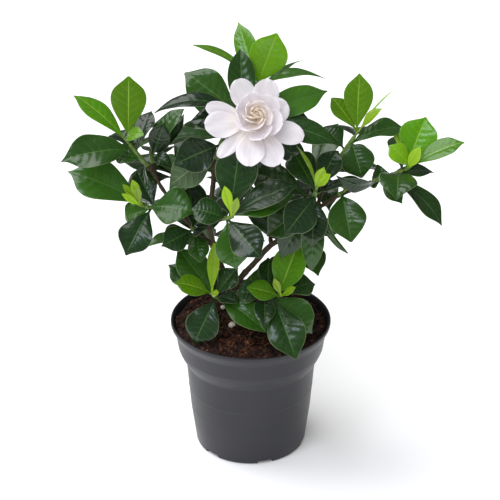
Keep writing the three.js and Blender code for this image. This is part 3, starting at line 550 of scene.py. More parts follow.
def grow_young_leaves(shoot, seed):
    """The bud at a shoot's end with its young leaves. The narrow ones are the youngest and lightest."""
    tip, axis = shoot["tip"], shoot["axis"]
    node = "young_" + shoot["name"]
    corners = corners_of(node)
    leaves = Blades()
    leaves.tube(tip + axis * 0.3, tip + axis * 5.9, [1.0, 1.15, 0.95, 0.6, 0.1], TWIG, 0.6, 0.9)
    for i, row in enumerate(shoot["young"]):
        found = settled(corners, listed_pose(shoot, row, -1.8 - 1.1 * i),
                        leaf_shape(row[3], row[5], seed + 10 * i, True))
        if found is None:
            continue
        opened = row[3] >= OPENED_WIDTH
        age = 0.35 + 0.3 * chance(seed + i + 61) if opened else 0.8 + 0.2 * chance(seed + i)
        found[1]["relief"] = quilted(0.2, 1.6 * chance(seed + i + 71) * opened)
        leaves.add(*found, *YOUNG_GRID, 0.4, chance(seed + i + 13), age)
    dress(leaves.piece("fine_" + node, [young_upper, young_under, twig_green]), "young_leaf", node)


def old_leaf_poses(shoot, seed):
    """Stance, shape and grid of the full-grown leaves. Those set by rule stand nearest the tip."""
    ruled = whorl_leaves(shoot, seed) if "whorl" in shoot else hidden_leaves(shoot["behind"], seed)
    gap = (shoot["green"] - 3) / (len(ruled) + len(shoot["old"]))
    poses = []
    for i, to_tip in enumerate(ruled):
        shape = leaf_shape(22 + 6 * chance(seed + i + 7), 0.08, seed + 10 * i + 9, False)
        poses.append((ruled_pose(shoot, to_tip, 1.5 + gap * i), shape, HIDDEN_GRID))
    for i, row in enumerate(shoot["old"]):
        shape = leaf_shape(row[3], row[5], seed + 10 * i + 5, False)
        poses.append((listed_pose(shoot, row, 1.5 + gap * (i + len(ruled))), shape, OLD_GRID))
    return poses


def grow_old_leaves(shoot, seed, n):
    """A green twig with its full-grown leaves."""
    tip, axis = shoot["tip"], shoot["axis"]
    node = "leaves_" + shoot["name"]
    corners = corners_of(node)
    leaves = Blades()
    knots = int(shoot["green"] // 3)
    radii = [1.72 + 0.1 * math.sin(2.4 * i + n) for i in range(2 * knots)]
    leaves.tube(tip - axis * (shoot["green"] - 0.3), tip, radii + [1.5, 0.9], TWIG, 0.4, 0.2)
    for i, (pose, shape, grid) in enumerate(old_leaf_poses(shoot, seed)):
        found = settled(corners, pose, shape)
        if found is None:
            continue
        found[1]["relief"] = quilted(0.26, 3.2 * chance(seed + i + 71))
        age = 0.6 * chance(seed + i + 31) ** 2
        leaves.add(*found, *grid, 0.45, chance(seed + i + 17), age)
    dress(leaves.piece("fine_" + node, [old_upper, old_under, twig_green]), "leaf", node)


def grow_leaves():
    for n, shoot in enumerate(SHOOTS):
        seed = 100 * (n + 1)
        shoot["tip"] = Vector(shoot["tip"])
        shoot["axis"] = (shoot["tip"] - Vector(shoot["way"][-1])).normalized()
        if shoot["young"]:
            grow_young_leaves(shoot, seed)
        grow_old_leaves(shoot, seed, n)


# ---------------------------------------------------------------- bloom

BLOOM = Vector((3, -33.5, 304))
BLOOM_AXIS = Vector((0.05, -0.75, 0.66)).normalized()
BLOOM_RIGHT = Vector((0, 0, 1)).cross(BLOOM_AXIS).normalized()
BLOOM_UP = BLOOM_AXIS.cross(BLOOM_RIGHT).normalized()

# Petals by whorl: clock turn in degrees from the right, reach, height of the tip, width
OUTER_PETALS = [
    [110, 34, 0, 20], [65, 33, 2, 20], [23, 28, -1, 20], [-22, 39.5, -4, 18], [-68, 40, 2, 21],
    [-100, 38, 4, 22], [-136, 40, -3, 12], [-174, 38, 0, 22], [160, 38.5, -5, 15],
]
MIDDLE_PETALS = [
    [100, 17, 11, 19], [40, 20, 11, 19], [-20, 21, 10, 20], [-75, 19, 11, 20],
    [-135, 15, 11, 19], [165, 14.5, 11, 19],
]
INNER_PETALS = [
    [70, 10, 14, 15], [-5, 12, 14, 16], [-80, 11, 14, 15], [-150, 8.5, 14.5, 15], [140, 8.5, 14, 15],
]
HEART_PETALS = [
    [20, 6, 14, 11], [-50, 6.5, 14, 10], [-130, 4, 15, 11], [100, 5, 14, 11],
    [-10, 3, 14.5, 8], [-160, 1.5, 15, 7], [80, 2, 14.5, 7],
]
# Height of the root, bow, cup, lean over the neighbour, and share of cream of each whorl
WHORLS = [
    (OUTER_PETALS, -6, -0.05, 0.1, 6, 0.0), (MIDDLE_PETALS, -2, -0.14, 0.3, 16, 0.0),
    (INNER_PETALS, 3.5, -0.14, 0.32, 26, 0.15), (HEART_PETALS, 7, -0.12, 0.32, 34, 0.45),
]


def soft_petal(seed):
    """A petal's relief: long low waves, and an edge that turns back a little."""
    def relief(t, s, half):
        ripple = 0.35 * np.sin(5.5 * s + 9 * t + 7 * chance(seed)) * np.clip(t * 2, 0, 1)
        edge = -0.5 * np.clip((np.abs(s) - 0.7) / 0.3, 0, 1) ** 2 * np.clip(t * 2, 0, 1)
        lip = -1.1 * np.clip((t - 0.86) / 0.14, 0, 1) ** 2
        return ripple + edge + lip
    return relief


def add_petal(petals, row, foot, arch, cup, lean, cream):
    """Adds one petal, from its root on the bloom's axis to its tip."""
    turn, reach, height, width = row
    outward = BLOOM_RIGHT * math.cos(math.radians(turn)) + BLOOM_UP * math.sin(math.radians(turn))
    root = BLOOM + BLOOM_AXIS * foot + outward * 1.5
    tip = BLOOM + outward * reach + BLOOM_AXIS * height
    tilt = Quaternion((tip - root).normalized(), math.radians(lean))
    pose = stance(root, tip, tilt @ (BLOOM_AXIS - outward * 0.3).normalized())
    shape = {
        "form": PETAL, "width": width, "arch": arch, "fold": 0, "curl": -cup,
        "wave": 0.05, "phase": chance(turn + 500), "crowd": 1.9, "relief": soft_petal(turn),
    }
    petals.add(pose, shape, *PETAL_GRID, 0.6, chance(turn + 90), cream, (UPPER, UPPER))


def make_bloom():
    """The petals, and a closed core that hides where their roots meet."""
    petals = Blades()
    for rows, foot, arch, cup, lean, cream in WHORLS:
        for row in rows:
            add_petal(petals, row, foot, arch, cup, lean, cream)
    petals.tube(BLOOM - BLOOM_AXIS * 10, BLOOM + BLOOM_AXIS * 12.4,
                [2.2, 3.2, 4.2, 4.4, 4.6, 4.6, 4.4, 4, 3.2, 1.8], 0, 0.5, 0.5, 24)
    dress(petals.piece("fine_bloom", [petal_skin]), "petal", "bloom")


# ---------------------------------------------------------------- node trees

def point_tree(name, sizes):
    """An empty geometry node tree with a geometry in, a geometry out and named sizes."""
    tree = bpy.data.node_groups.new(name, "GeometryNodeTree")
    tree.interface.new_socket("Geometry", in_out="INPUT", socket_type="NodeSocketGeometry")
    tree.interface.new_socket("Geometry", in_out="OUTPUT", socket_type="NodeSocketGeometry")
    for size in sizes:
        tree.interface.new_socket(size, in_out="INPUT", socket_type="NodeSocketFloat")
    start = tree.nodes.new("NodeGroupInput")
    return tree, start


def finish_tree(tree, geometry, material):
    """Ends a tree: what it made becomes one plain mesh in the material."""
    real = add(tree, "GeometryNodeRealizeInstances", {0: geometry})
    painted = add(tree, "GeometryNodeSetMaterial", {0: real, "Material": material})
    end = tree.nodes.new("NodeGroupOutput")
    tree.links.new(painted.outputs[0], end.inputs[0])


def grown(piece, tree, sizes):
    """Runs a tree on a piece and returns the plain result."""
    modifier = piece.modifiers.new(tree.name, "NODES")
    modifier.node_group = tree
    names = {item.name: item.identifier for item in tree.interface.items_tree if item.in_out == "INPUT"}
    for name, value in sizes.items():
        modifier[names[name]] = value
    return applied(piece)


# ---------------------------------------------------------------- wood

def bark_material():
    """Young gardenia bark: grey-brown and matt, with cracks 1 mm apart and greener patches 8 mm wide."""
    material, tree = new_material("gardenia_bark")
    where = add(tree, "ShaderNodeTexCoord").outputs["Object"]
    along = add(tree, "ShaderNodeMapping", {0: where, 3: (1.0, 1.0, 0.3)})
    cracks = add(tree, "ShaderNodeTexNoise", {"Vector": along, "Scale": 900.0, "Detail": 5.0})
    patches = add(tree, "ShaderNodeTexNoise", {"Vector": where, "Scale": 120.0, "Detail": 2.0})
    brown = ramp(tree, cracks, [(0.3, "#1c130d"), (0.55, "#3f2c1e"), (0.75, "#6f573f")])
    colour = add(tree, "ShaderNodeMix", {0: patches, 6: brown, 7: srgb("#3d3a22")}, data_type="RGBA")
    bump = add(tree, "ShaderNodeBump", {"Strength": 0.7, "Distance": 0.0005, "Height": cracks})
    skin = add(tree, "ShaderNodeBsdfPrincipled",
               {"Base Color": colour.outputs[2], "Roughness": 0.8, "Normal": bump})
    add(tree, "ShaderNodeOutputMaterial", {0: skin})
    return material


def twig_material():
    """This year's twig: green and smooth, with browner clouds 4 mm wide in its skin."""
    material, tree = new_material("green_twig")
    where = add(tree, "ShaderNodeTexCoord").outputs["Object"]
    cloud = add(tree, "ShaderNodeTexNoise", {"Vector": where, "Scale": 260.0, "Detail": 3.0})
    green = ramp(tree, cloud, [(0.3, "#3c5522"), (0.55, "#5d7a2e"), (0.8, "#6d6a3a")])
    skin = add(tree, "ShaderNodeBsdfPrincipled", {"Base Color": green, "Roughness": 0.5})
    add(tree, "ShaderNodeOutputMaterial", {0: skin})
    return material


bark_skin = bark_material()
twig_green = twig_material()
LIMBS = [
    ([(-16, 5, 62), (-16, 5, 85), (-16, 5, 104), (-16, 5, 114), (-15, 2, 122), (-14, -5, 142)],
     (3.6, 3.0)),
    ([(-14, -5, 142), (-7, -5, 154), (2, -5, 165), (16, -5, 182), (32, -8, 194), (44, -12, 208),
      (51, -15, 219)], (2.9, 2.1)),
    ([(-14, -5, 142), (-21, -5, 158), (-28, -5, 180), (-33, -10, 205), (-30, -9, 232),
      (-28, -9, 252), (-16, -2, 276)], (2.6, 1.8)),
]


def smooth_path(points, per_span=8):
    """A centripetal curve through points."""
    p = [Vector(q) for q in points]
    p = [2 * p[0] - p[1], *p, 2 * p[-1] - p[-2]]
    path = []
    for a, b, c, d in zip(p, p[1:], p[2:], p[3:]):
        da, db, dc = ((b - a).length ** 0.5, (c - b).length ** 0.5, (d - c).length ** 0.5)
        first = ((b - a) / da - (c - a) / (da + db) + (c - b) / db) * db
        last = ((c - b) / db - (d - b) / (db + dc) + (d - c) / dc) * db
        for i in range(per_span):
            u = i / per_span
            path.append(b + first * u + (3 * (c - b) - 2 * first - last) * u ** 2
                        + (2 * (b - c) + first + last) * u ** 3)
    return path + [p[-2]]


def path_piece(name, paths):
    """A mesh of bare lines, with the radius at each point."""
    points, edges, radii = [], [], []
    for path, (start, end) in paths:
        spots = smooth_path(path)
        steps = [0.0]
        for a, b in zip(spots, spots[1:]):
            steps.append(steps[-1] + (b - a).length)
            edges.append((len(points) + len(steps) - 2, len(points) + len(steps) - 1))
        points += spots
        radii += [start + (end - start) * step / steps[-1] for step in steps]
    mesh = bpy.data.meshes.new(name)
    mesh.from_pydata([tuple(point * MM) for point in points], edges, [])
    mesh.attributes.new("thick", "FLOAT", "POINT").data.foreach_set("value", [r * MM for r in radii])
    made = bpy.data.objects.new(name, mesh)
    scene.collection.objects.link(made)
    return made


def limb_tree(material):
    """Wraps round bars about bare lines, with knots and swellings on them."""
    tree, start = point_tree("limbs", ["Knot height", "Knot spacing"])
    curve = add(tree, "GeometryNodeMeshToCurve", {0: start})
    thick = add(tree, "GeometryNodeInputNamedAttribute", {"Name": "thick"}, data_type="FLOAT")
    place = add(tree, "GeometryNodeInputPosition")
    per = add(tree, "ShaderNodeMath", {0: 1.0, 1: start.outputs["Knot spacing"]}, operation="DIVIDE")
    noise = add(tree, "ShaderNodeTexNoise", {"Vector": place, "Scale": per, "Detail": 1.0})
    level = add(tree, "ShaderNodeMath", {0: noise, 1: 2.0, 2: -1.2}, operation="MULTIPLY_ADD")
    knot = add(tree, "ShaderNodeMath", {0: level, 1: start.outputs["Knot height"]}, operation="MULTIPLY")
    full = add(tree, "ShaderNodeMath", {0: thick, 1: knot}, operation="ADD")
    ring = add(tree, "GeometryNodeCurvePrimitiveCircle", {"Resolution": 14, "Radius": 1.0})
    bars = add(tree, "GeometryNodeCurveToMesh", {0: curve, 1: ring, "Scale": full, "Fill Caps": True})
    finish_tree(tree, bars, material)
    return tree


def make_wood():
    """The trunk, limbs and shoots as one skin, swollen where they fork."""
    paths = list(LIMBS)
    for shoot in SHOOTS:
        start = shoot["tip"] - shoot["axis"] * shoot["green"]
        paths.append(([*shoot["way"], start - shoot["axis"] * 3, start], (2.1, 1.75)))
    bars = path_piece("limb_lines", paths)
    bars = grown(bars, limb_tree(bark_skin), {"Knot height": 0.0012, "Knot spacing": 0.005})
    remesh = bars.modifiers.new("one_skin", "REMESH")
    remesh.mode = "VOXEL"
    remesh.voxel_size = 0.00055
    remesh.use_smooth_shade = True
    smooth = bars.modifiers.new("soft", "SMOOTH")
    smooth.factor = 0.5
    smooth.iterations = 2
    wood = applied(bars)
    wood.name = "fine_woody_stems"
    dress(wood, "bark", "woody_stems")


# ---------------------------------------------------------------- turned pieces

POT_HEIGHT = 113
LIP_RADIUS = 65
BAND_RADIUS = 59.2
SHOULDER_RADIUS = 52.8
BASE_RADIUS = 45.2
WALL = 1.3
WAIST = (49.4, 33.6)  # radius and height of a point on the body's taper
SHOULDER_FOOT = (SHOULDER_RADIUS, 76)
TAPER = [WAIST, SHOULDER_FOOT, (57, 83.5), (BAND_RADIUS, 89)]  # the outer side up to the rim band
BAND = [(61.3, 103), (LIP_RADIUS, 110)]
LEDGE_HEIGHT = 53  # a faint line round the body
NOTCHES = 6
NOTCH = (5, 6.5, 3.2)  # half its size into the wall, along the wall, and up
POT_SIDES = 160
PEAT_SIDES = 220
SOIL_LEVEL = 108.5
SOIL_RADIUS = 61.1
FIT = 0.3  # room between the peat and the pot


def eased(outline, reach, steps=5):
    """An outline with its corners rounded off over `reach` on each side."""
    points = [np.array(p, float) for p in outline]
    soft = [points[0]]
    for a, b, c in zip(points, points[1:], points[2:]):
        back, ahead = a - b, c - b
        near = min(reach, 0.45 * np.linalg.norm(back), 0.45 * np.linalg.norm(ahead))
        start = b + back / np.linalg.norm(back) * near
        end = b + ahead / np.linalg.norm(ahead) * near
        for i in range(steps + 1):
            u = i / steps
            soft.append((1 - u) ** 2 * start + 2 * u * (1 - u) * b + u * u * end)
    return soft + [points[-1]]


def turned_piece(name, outline, sides, material):
    """A solid of revolution about the pot's axis; the outline runs from pole to pole, outer side first."""
    outline = np.array(outline)
    turn = np.linspace(0, 2 * np.pi, sides, endpoint=False)
    rings = outline[1:-1]
    x = rings[:, 0, None] * np.cos(turn)
    y = rings[:, 0, None] * np.sin(turn)
    z = np.repeat(rings[:, 1, None], sides, axis=1)
    points = np.concatenate([np.stack([x, y, z], -1).reshape(-1, 3),
                             [[0, 0, outline[0, 1]], [0, 0, outline[-1, 1]]]])
    at = np.arange(len(rings) * sides).reshape(len(rings), sides)
    nxt = np.roll(at, -1, axis=1)
    faces = np.stack([at[:-1], nxt[:-1], nxt[1:], at[1:]], -1).reshape(-1, 4).tolist()
    first, last = len(points) - 2, len(points) - 1
    faces += [[first, int(nxt[0, j]), int(at[0, j])] for j in range(sides)]
    faces += [[int(at[-1, j]), int(nxt[-1, j]), last] for j in range(sides)]
    return mesh_object(name, points, faces, [material])


def pot_material():
    """Moulded polypropylene: dark blue-grey and satin, with rubbed dust in clouds 33 mm wide.

    Its grain is 0.7 mm wide, which is coarser than the real one, so that it shows.
    """
    material, tree = new_material("nursery_pot_polypropylene")
    where = add(tree, "ShaderNodeTexCoord").outputs["Object"]
    grain = add(tree, "ShaderNodeTexNoise", {"Vector": where, "Scale": 1500.0, "Detail": 2.0})
    dust = add(tree, "ShaderNodeTexNoise", {"Vector": where, "Scale": 30.0, "Detail": 4.0})
    colour = ramp(tree, dust, [(0.3, "#1b1b20"), (0.7, "#212128")])
    shine = add(tree, "ShaderNodeMapRange", {0: dust, 1: 0.3, 2: 0.7, 3: 0.36, 4: 0.48})
    bump = add(tree, "ShaderNodeBump", {"Strength": 0.06, "Distance": 0.0003, "Height": grain})
    skin = add(tree, "ShaderNodeBsdfPrincipled", {
        "Base Color": colour, "Roughness": shine.outputs[0], "IOR": 1.49, "Normal": bump})
    add(tree, "ShaderNodeOutputMaterial", {0: skin})
    return material


def notch_cutter():
    """Blocks that stand round the pot's foot, to cut the drain notches with."""
    deep, wide, high = NOTCH
    corners, quads = [], []
    for i in range(NOTCHES):
        turn = math.radians(-135 + 360 / NOTCHES * i)
        base = len(corners)
        for z in (-high, high):
            for x, y in ((-deep, -wide), (deep, -wide), (deep, wide), (-deep, wide)):
                corners.append(((BASE_RADIUS + x) * math.cos(turn) - y * math.sin(turn),
                                (BASE_RADIUS + x) * math.sin(turn) + y * math.cos(turn), z))
        for quad in ((3, 2, 1, 0), (4, 5, 6, 7), (0, 1, 5, 4), (1, 2, 6, 5), (2, 3, 7, 6), (3, 0, 4, 7)):
            quads.append([base + k for k in quad])
    return mesh_object("drain_notches", corners, quads, [], False)


def pot_outline():
    """The pot's outline from the middle of its underside, up outside, and down inside to its floor."""
    foot = [(BASE_RADIUS - 1.2, 0), (BASE_RADIUS, 1.2)]
    rise = (LEDGE_HEIGHT - WAIST[1]) / (SHOULDER_FOOT[1] - WAIST[1])
    radius = WAIST[0] + (SHOULDER_FOOT[0] - WAIST[0]) * rise
    ledge = [(radius - 0.1, LEDGE_HEIGHT - 0.8), (radius + 0.22, LEDGE_HEIGHT),
             (radius + 0.1, LEDGE_HEIGHT + 0.7)]
    lip = [(LIP_RADIUS, POT_HEIGHT - 0.6), (LIP_RADIUS - 0.6, POT_HEIGHT),
           (LIP_RADIUS - 1.7, POT_HEIGHT - 0.4)]
    inner = [(r - WALL, z) for r, z in [*TAPER, BAND[0]]][::-1]
    return [(0, 0), *foot, WAIST, *ledge, *TAPER[1:], *BAND, *lip, *inner, (BASE_RADIUS - WALL, 2), (0, 2)]


def make_pot():
    pot = turned_piece("fine_pot", eased(pot_outline(), 1.6), POT_SIDES, pot_material())
    cutter = notch_cutter()
    cut = pot.modifiers.new("notches", "BOOLEAN")
    cut.operation = "DIFFERENCE"
    cut.solver = "EXACT"
    cut.object = cutter
    pot = applied(pot)
    bpy.data.objects.remove(cutter)
    pot.data.set_sharp_from_angle(angle=math.radians(35))
    dress(pot, "nursery_pot", "pot")


# ---------------------------------------------------------------- soil

GRAINS = [[-15, -10, 3], [-23, 20, 2], [21, -37, 2.2]]  # X, Y and radius of the perlite
DAMP_PEAT = [(0.35, "#0e0705"), (0.5, "#23130d"), (0.6, "#3f2217"), (0.72, "#6d452e")]
PEAT_CRUMBS = [(0.35, "#100805"), (0.5, "#29150e"), (0.62, "#552f20"), (0.76, "#97714f")]
BARK_FIBRES = [(0.3, "#3a2417"), (0.6, "#6b4830"), (0.85, "#9c7856")]


def soil_top(x, y):
    """Height of the crumbly surface: a low mound round the trunk, with lumps and hollows."""
    mound = 2.5 * np.exp(-((x + 14) / 30) ** 2 - (y / 30) ** 2)
    return (SOIL_LEVEL + mound + 0.9 * np.sin(0.41 * x + 1) * np.cos(0.37 * y)
            + 0.7 * np.sin(0.19 * x - 0.27 * y))


def peat_material(name, colours, scale):
    """Peat and composted bark: dark, damp brown, quite matt, with lighter lumps in it.

    There are `scale` lumps to a metre: 3 mm wide in the peat, 6 mm in the crumbs and 2 mm in the fibres.
    """
    material, tree = new_material(name)
    where = add(tree, "ShaderNodeTexCoord").outputs["Object"]
    lumps = add(tree, "ShaderNodeTexNoise", {"Vector": where, "Scale": scale, "Detail": 6.0,
                                             "Roughness": 0.65})
    colour = ramp(tree, lumps, colours)
    bump = add(tree, "ShaderNodeBump", {"Strength": 1.0, "Distance": 0.0012, "Height": lumps})
    skin = add(tree, "ShaderNodeBsdfPrincipled", {"Base Color": colour, "Roughness": 0.95, "Normal": bump})
    add(tree, "ShaderNodeOutputMaterial", {0: skin})
    return material


def level_spots(tree, start):
    """Random points on the level faces of a mesh, within Reach of the pot's axis."""
    normal = add(tree, "ShaderNodeSeparateXYZ", {0: add(tree, "GeometryNodeInputNormal")})
    level = add(tree, "ShaderNodeMath", {0: normal.outputs[2], 1: 0.4}, operation="GREATER_THAN")
    flat = add(tree, "ShaderNodeVectorMath", {0: add(tree, "GeometryNodeInputPosition"), 1: (1, 1, 0)},
               operation="MULTIPLY")
    radius = add(tree, "ShaderNodeVectorMath", {0: flat}, operation="LENGTH")
    inside = add(tree, "ShaderNodeMath", {0: radius.outputs["Value"], 1: start.outputs["Reach"]},
                 operation="LESS_THAN")
    both = add(tree, "ShaderNodeMath", {0: level, 1: inside}, operation="MULTIPLY")
    return add(tree, "GeometryNodeDistributePointsOnFaces", {
        0: start, "Selection": both, "Density": start.outputs["Density"], "Seed": start.outputs["Seed"]})


def crumb_tree(material):
    """Scatters crumbs over the level faces of a mesh."""
    tree, start = point_tree("crumbs", ["Density", "Reach", "Seed", "Smallest", "Largest"])
    spots = level_spots(tree, start)
    grain = add(tree, "GeometryNodeMeshIcoSphere", {"Radius": 1.0, "Subdivisions": 2})
    size = add(tree, "FunctionNodeRandomValue", {
        2: start.outputs["Smallest"], 3: start.outputs["Largest"], "Seed": 3}, data_type="FLOAT")
    turn = add(tree, "FunctionNodeRandomValue", {0: (0, 0, 0), 1: (6.28, 6.28, 6.28), "Seed": 5},
               data_type="FLOAT_VECTOR")
    flat = add(tree, "ShaderNodeCombineXYZ", {0: size.outputs[1], 1: size.outputs[1]})
    thin = add(tree, "ShaderNodeMath", {0: size.outputs[1], 1: 0.7}, operation="MULTIPLY")
    tree.links.new(thin.outputs[0], flat.inputs[2])
    placed = add(tree, "GeometryNodeInstanceOnPoints", {
        0: spots, "Instance": grain, "Rotation": turn, "Scale": flat})
    real = add(tree, "GeometryNodeRealizeInstances", {0: placed})
    where = add(tree, "GeometryNodeInputPosition")
    rough = add(tree, "ShaderNodeTexNoise", {"Vector": where, "Scale": 500.0, "Detail": 2.0})
    shift = add(tree, "ShaderNodeMath", {0: rough, 1: 0.0022, 2: -0.0011}, operation="MULTIPLY_ADD")
    push = add(tree, "ShaderNodeVectorMath", {0: add(tree, "GeometryNodeInputNormal"), "Scale": shift},
               operation="SCALE")
    shaped = add(tree, "GeometryNodeSetPosition", {0: real, "Offset": push})
    finish_tree(tree, shaped, material)
    return tree


def fibre_tree(material):
    """Lays short crooked fibres over the level faces of a mesh."""
    tree, start = point_tree("fibres", ["Density", "Reach", "Seed", "Length", "Thickness"])
    spots = level_spots(tree, start)
    end = add(tree, "ShaderNodeCombineXYZ", {0: start.outputs["Length"]})
    line = add(tree, "GeometryNodeCurvePrimitiveLine", {"Start": (0, 0, 0), "End": end})
    fine = add(tree, "GeometryNodeResampleCurve", {0: line, "Count": 7})
    turn = add(tree, "FunctionNodeRandomValue", {0: (-0.25, -0.25, 0), 1: (0.25, 0.25, 6.28), "Seed": 9},
               data_type="FLOAT_VECTOR")
    size = add(tree, "FunctionNodeRandomValue", {2: 0.4, 3: 1.0, "Seed": 11}, data_type="FLOAT")
    placed = add(tree, "GeometryNodeInstanceOnPoints", {
        0: spots, "Instance": fine, "Rotation": turn, "Scale": size.outputs[1]})
    real = add(tree, "GeometryNodeRealizeInstances", {0: placed})
    where = add(tree, "GeometryNodeInputPosition")
    bent = add(tree, "ShaderNodeTexNoise", {"Vector": where, "Scale": 160.0, "Detail": 1.0})
    centred = add(tree, "ShaderNodeVectorMath", {0: bent.outputs["Color"], 1: (-0.5, -0.5, -0.35)},
                  operation="ADD")
    push = add(tree, "ShaderNodeVectorMath", {0: centred, "Scale": 0.006}, operation="SCALE")
    crooked = add(tree, "GeometryNodeSetPosition", {0: real, "Offset": push})
    ring = add(tree, "GeometryNodeCurvePrimitiveCircle", {"Resolution": 5})
    tree.links.new(start.outputs["Thickness"], ring.inputs["Radius"])
    strands = add(tree, "GeometryNodeCurveToMesh", {0: crooked, 1: ring, "Fill Caps": True})
    finish_tree(tree, strands, material)
    return tree


def perlite_material():
    """Expanded perlite: chalky white glass foam with pits 1 mm wide."""
    material, tree = new_material("perlite_grain")
    where = add(tree, "ShaderNodeTexCoord").outputs["Object"]
    pits = add(tree, "ShaderNodeTexVoronoi", {"Vector": where, "Scale": 1100.0})
    colour = ramp(tree, pits, [(0.0, "#b9ada0"), (0.4, "#e4ddd2")])
    bump = add(tree, "ShaderNodeBump", {"Strength": 0.6, "Distance": 0.0004, "Height": pits})
    skin = add(tree, "ShaderNodeBsdfPrincipled", {"Base Color": colour, "Roughness": 0.9, "Normal": bump})
    add(tree, "ShaderNodeOutputMaterial", {0: skin})
    return material


def crumbly(x, y):
    """Fine lumps on the peat's surface, for which the solid is too coarse."""
    return (0.5 * np.sin(1.3 * x + 2 * np.sin(0.9 * y)) * np.sin(1.7 * y + 1.5 * np.sin(1.1 * x))
            + 0.3 * np.sin(3.1 * x + 1) * np.sin(2.7 * y + 2))


def peat_body():
    """The peat that fills the pot, with its surface raised into lumps."""
    side = [(r - WALL - FIT, z) for r, z in TAPER]
    rings = [(r, SOIL_LEVEL) for r in np.linspace(57, 0.8, 70)]
    outline = [(0, 2 + FIT), (BASE_RADIUS - WALL - FIT, 2 + FIT), *side,
               (SOIL_RADIUS, SOIL_LEVEL - 1), *rings, (0, SOIL_LEVEL)]
    peat = peat_material("damp_peat", DAMP_PEAT, 320.0)
    body = turned_piece("fine_soil", outline, PEAT_SIDES, peat)
    at = np.empty(3 * len(body.data.vertices))
    body.data.vertices.foreach_get("co", at)
    at = at.reshape(-1, 3) / MM
    level = at[:, 2] > SOIL_LEVEL - 0.5
    x, y = at[level, 0], at[level, 1]
    at[level, 2] = soil_top(x, y) + crumbly(x, y)
    body.data.vertices.foreach_set("co", (at * MM).ravel())
    return body


def scattered(name, body, tree, sizes):
    """What a tree strews over the peat, as a piece of its own."""
    bed = body.copy()
    bed.data = body.data.copy()
    scene.collection.objects.link(bed)
    made = grown(bed, tree, sizes)
    made.name = name
    return made


def perlite_grain(number, x, y, radius, material):
    """One lumpy grain, partly sunk in the peat. Its number shifts its lumps."""
    phase = number - 1
    made = bmesh.new()
    bmesh.ops.create_icosphere(made, subdivisions=4, radius=radius)
    for vertex in made.verts:
        d = vertex.co.normalized()
        lump = 0.06 * math.sin(5 * d.x + phase) * math.sin(4 * d.y + 2) + 0.03 * math.sin(11 * d.z + 9 * d.x)
        vertex.co = vertex.co * (0.96 + lump) + Vector((x, y, float(soil_top(x, y)) + 0.5 * radius))
        vertex.co *= MM
    mesh = bpy.data.meshes.new(f"fine_perlite_{number}")
    made.to_mesh(mesh)
    made.free()
    mesh.materials.append(material)
    mesh.polygons.foreach_set("use_smooth", [True] * len(mesh.polygons))
    grain = bpy.data.objects.new(mesh.name, mesh)
    scene.collection.objects.link(grain)
    return grain


def make_soil():
    soil = peat_body()
    crumbs = scattered("peat_crumbs", soil, crumb_tree(peat_material("peat_crumbs", PEAT_CRUMBS, 160.0)),
                       {"Density": 60000.0, "Reach": 0.0593, "Seed": 4.0, "Smallest": 0.0005,
                        "Largest": 0.0027})
    fibres = scattered("bark_fibres", soil, fibre_tree(peat_material("bark_fibres", BARK_FIBRES, 500.0)),
                       {"Density": 13000.0, "Reach": 0.05, "Seed": 7.0, "Length": 0.011,
                        "Thickness": 0.0003})
    dress(soil, "peat", "soil")
    dress(crumbs, "peat")
    dress(fibres, "peat")
    chalk = perlite_material()
    for number, (x, y, radius) in enumerate(GRAINS, 1):
        dress(perlite_grain(number, x, y, radius, chalk), "perlite", f"perlite_{number}")


def make_stalk():
    """The stalk behind the bloom."""
    stem = next(shoot for shoot in SHOOTS if shoot["name"] == "bloom_stem")
    back = BLOOM - BLOOM_AXIS * 10.3
    path = [stem["tip"] + stem["axis"] * 0.3, stem["tip"] + stem["axis"] * 4, back - BLOOM_AXIS * 5, back]
    line = path_piece("stalk_line", [(path, (1.3, 2.2))])
    stalk = grown(line, limb_tree(twig_green), {"Knot height": 0.0001, "Knot spacing": 0.004})
    stalk.data.polygons.foreach_set("use_smooth", [True] * len(stalk.data.polygons))
    stalk.name = "fine_bloom_stalk"
    dress(stalk, "young_leaf", "bloom_stalk")


# ---------------------------------------------------------------- stage, light and camera

def aim(thing, target):
    """Turns a lamp towards a point."""
    thing.rotation_euler = (Vector(target) - thing.location).to_track_quat("-Z", "Y").to_euler()


def soft_sun(name, place, strength, width, colour="#ffffff", mirrored=True):
    """A large soft light far away, seen from the plant in the direction of place."""
    light = bpy.data.lights.new(name, "SUN")
    light.energy = strength
    light.angle = math.radians(width)
    light.color = srgb(colour)[:3]
    lamp = bpy.data.objects.new(name, light)
    lamp.visible_glossy = mirrored
    lamp.location = place
    scene.collection.objects.link(lamp)
    aim(lamp, (0, 0, 0.2))


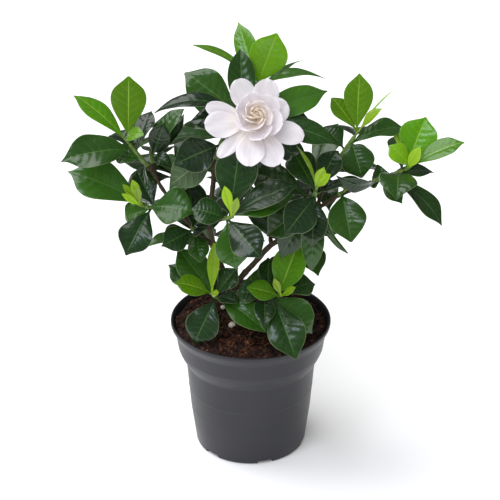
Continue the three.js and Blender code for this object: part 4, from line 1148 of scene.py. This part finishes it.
def make_floor():
    """A studio floor in matt, almost white paint, which hardly mirrors."""
    floor_paint, tree = new_material("studio_floor")
    skin = add(tree, "ShaderNodeBsdfPrincipled", {"Base Color": srgb("#fbfbfc"), "Roughness": 0.9,
                                                  "Specular IOR Level": 0.1})
    add(tree, "ShaderNodeOutputMaterial", {0: skin})
    half = 4000
    floor = mesh_object("floor", [(-half, -half, -0.2), (half, -half, -0.2), (half, half, -0.2),
                                  (-half, half, -0.2)], [(0, 1, 2, 3)], [floor_paint], False)


def make_backdrop():
    """A studio that shows white, lights the plant at under half of that, and is mirrored dimmer still."""
    world = bpy.data.worlds.new("studio")
    scene.world = world
    world.use_nodes = True
    tree = world.node_tree
    backdrop = tree.nodes["Background"]
    backdrop.inputs[0].default_value = srgb("#ffffff")
    path = add(tree, "ShaderNodeLightPath").outputs
    direct = add(tree, "ShaderNodeMath", {0: path["Is Camera Ray"], 1: 0.55, 2: 0.45},
                 operation="MULTIPLY_ADD")
    glow = add(tree, "ShaderNodeMath", {0: path["Is Glossy Ray"], 1: -0.27, 2: direct},
               operation="MULTIPLY_ADD")
    tree.links.new(glow.outputs[0], backdrop.inputs[1])


def make_stage():
    make_floor()
    make_backdrop()
    soft_sun("high_left_light", (-0.8, 0.4, 1.6), 2.1, 50)
    soft_sun("front_light", (-0.5, -1.3, 1.3), 1.7, 50, mirrored=False)
    soft_sun("glint_light", (-0.5, -0.5, 1.5), 0.5, 16, "#e6eeff")
    scene.view_settings.view_transform = "Standard"


def make_camera():
    camera = bpy.data.cameras.new("front_view")
    camera.sensor_width = 36
    camera.lens = 132.9
    eye = bpy.data.objects.new("front_view", camera)
    near, up = 1500, 54.8  # how far in front of the rim's centre the eye is, and how far up across the view
    eye.location = (Vector((-0.6, 0, POT_HEIGHT)) + seen(0, up, near)) * MM
    eye.rotation_euler = (math.pi / 2 - LOOK_DOWN, 0, 0)
    scene.collection.objects.link(eye)
    scene.camera = eye


grow_leaves()
make_bloom()
make_wood()
make_pot()
make_soil()
make_stalk()
make_stage()
make_camera()
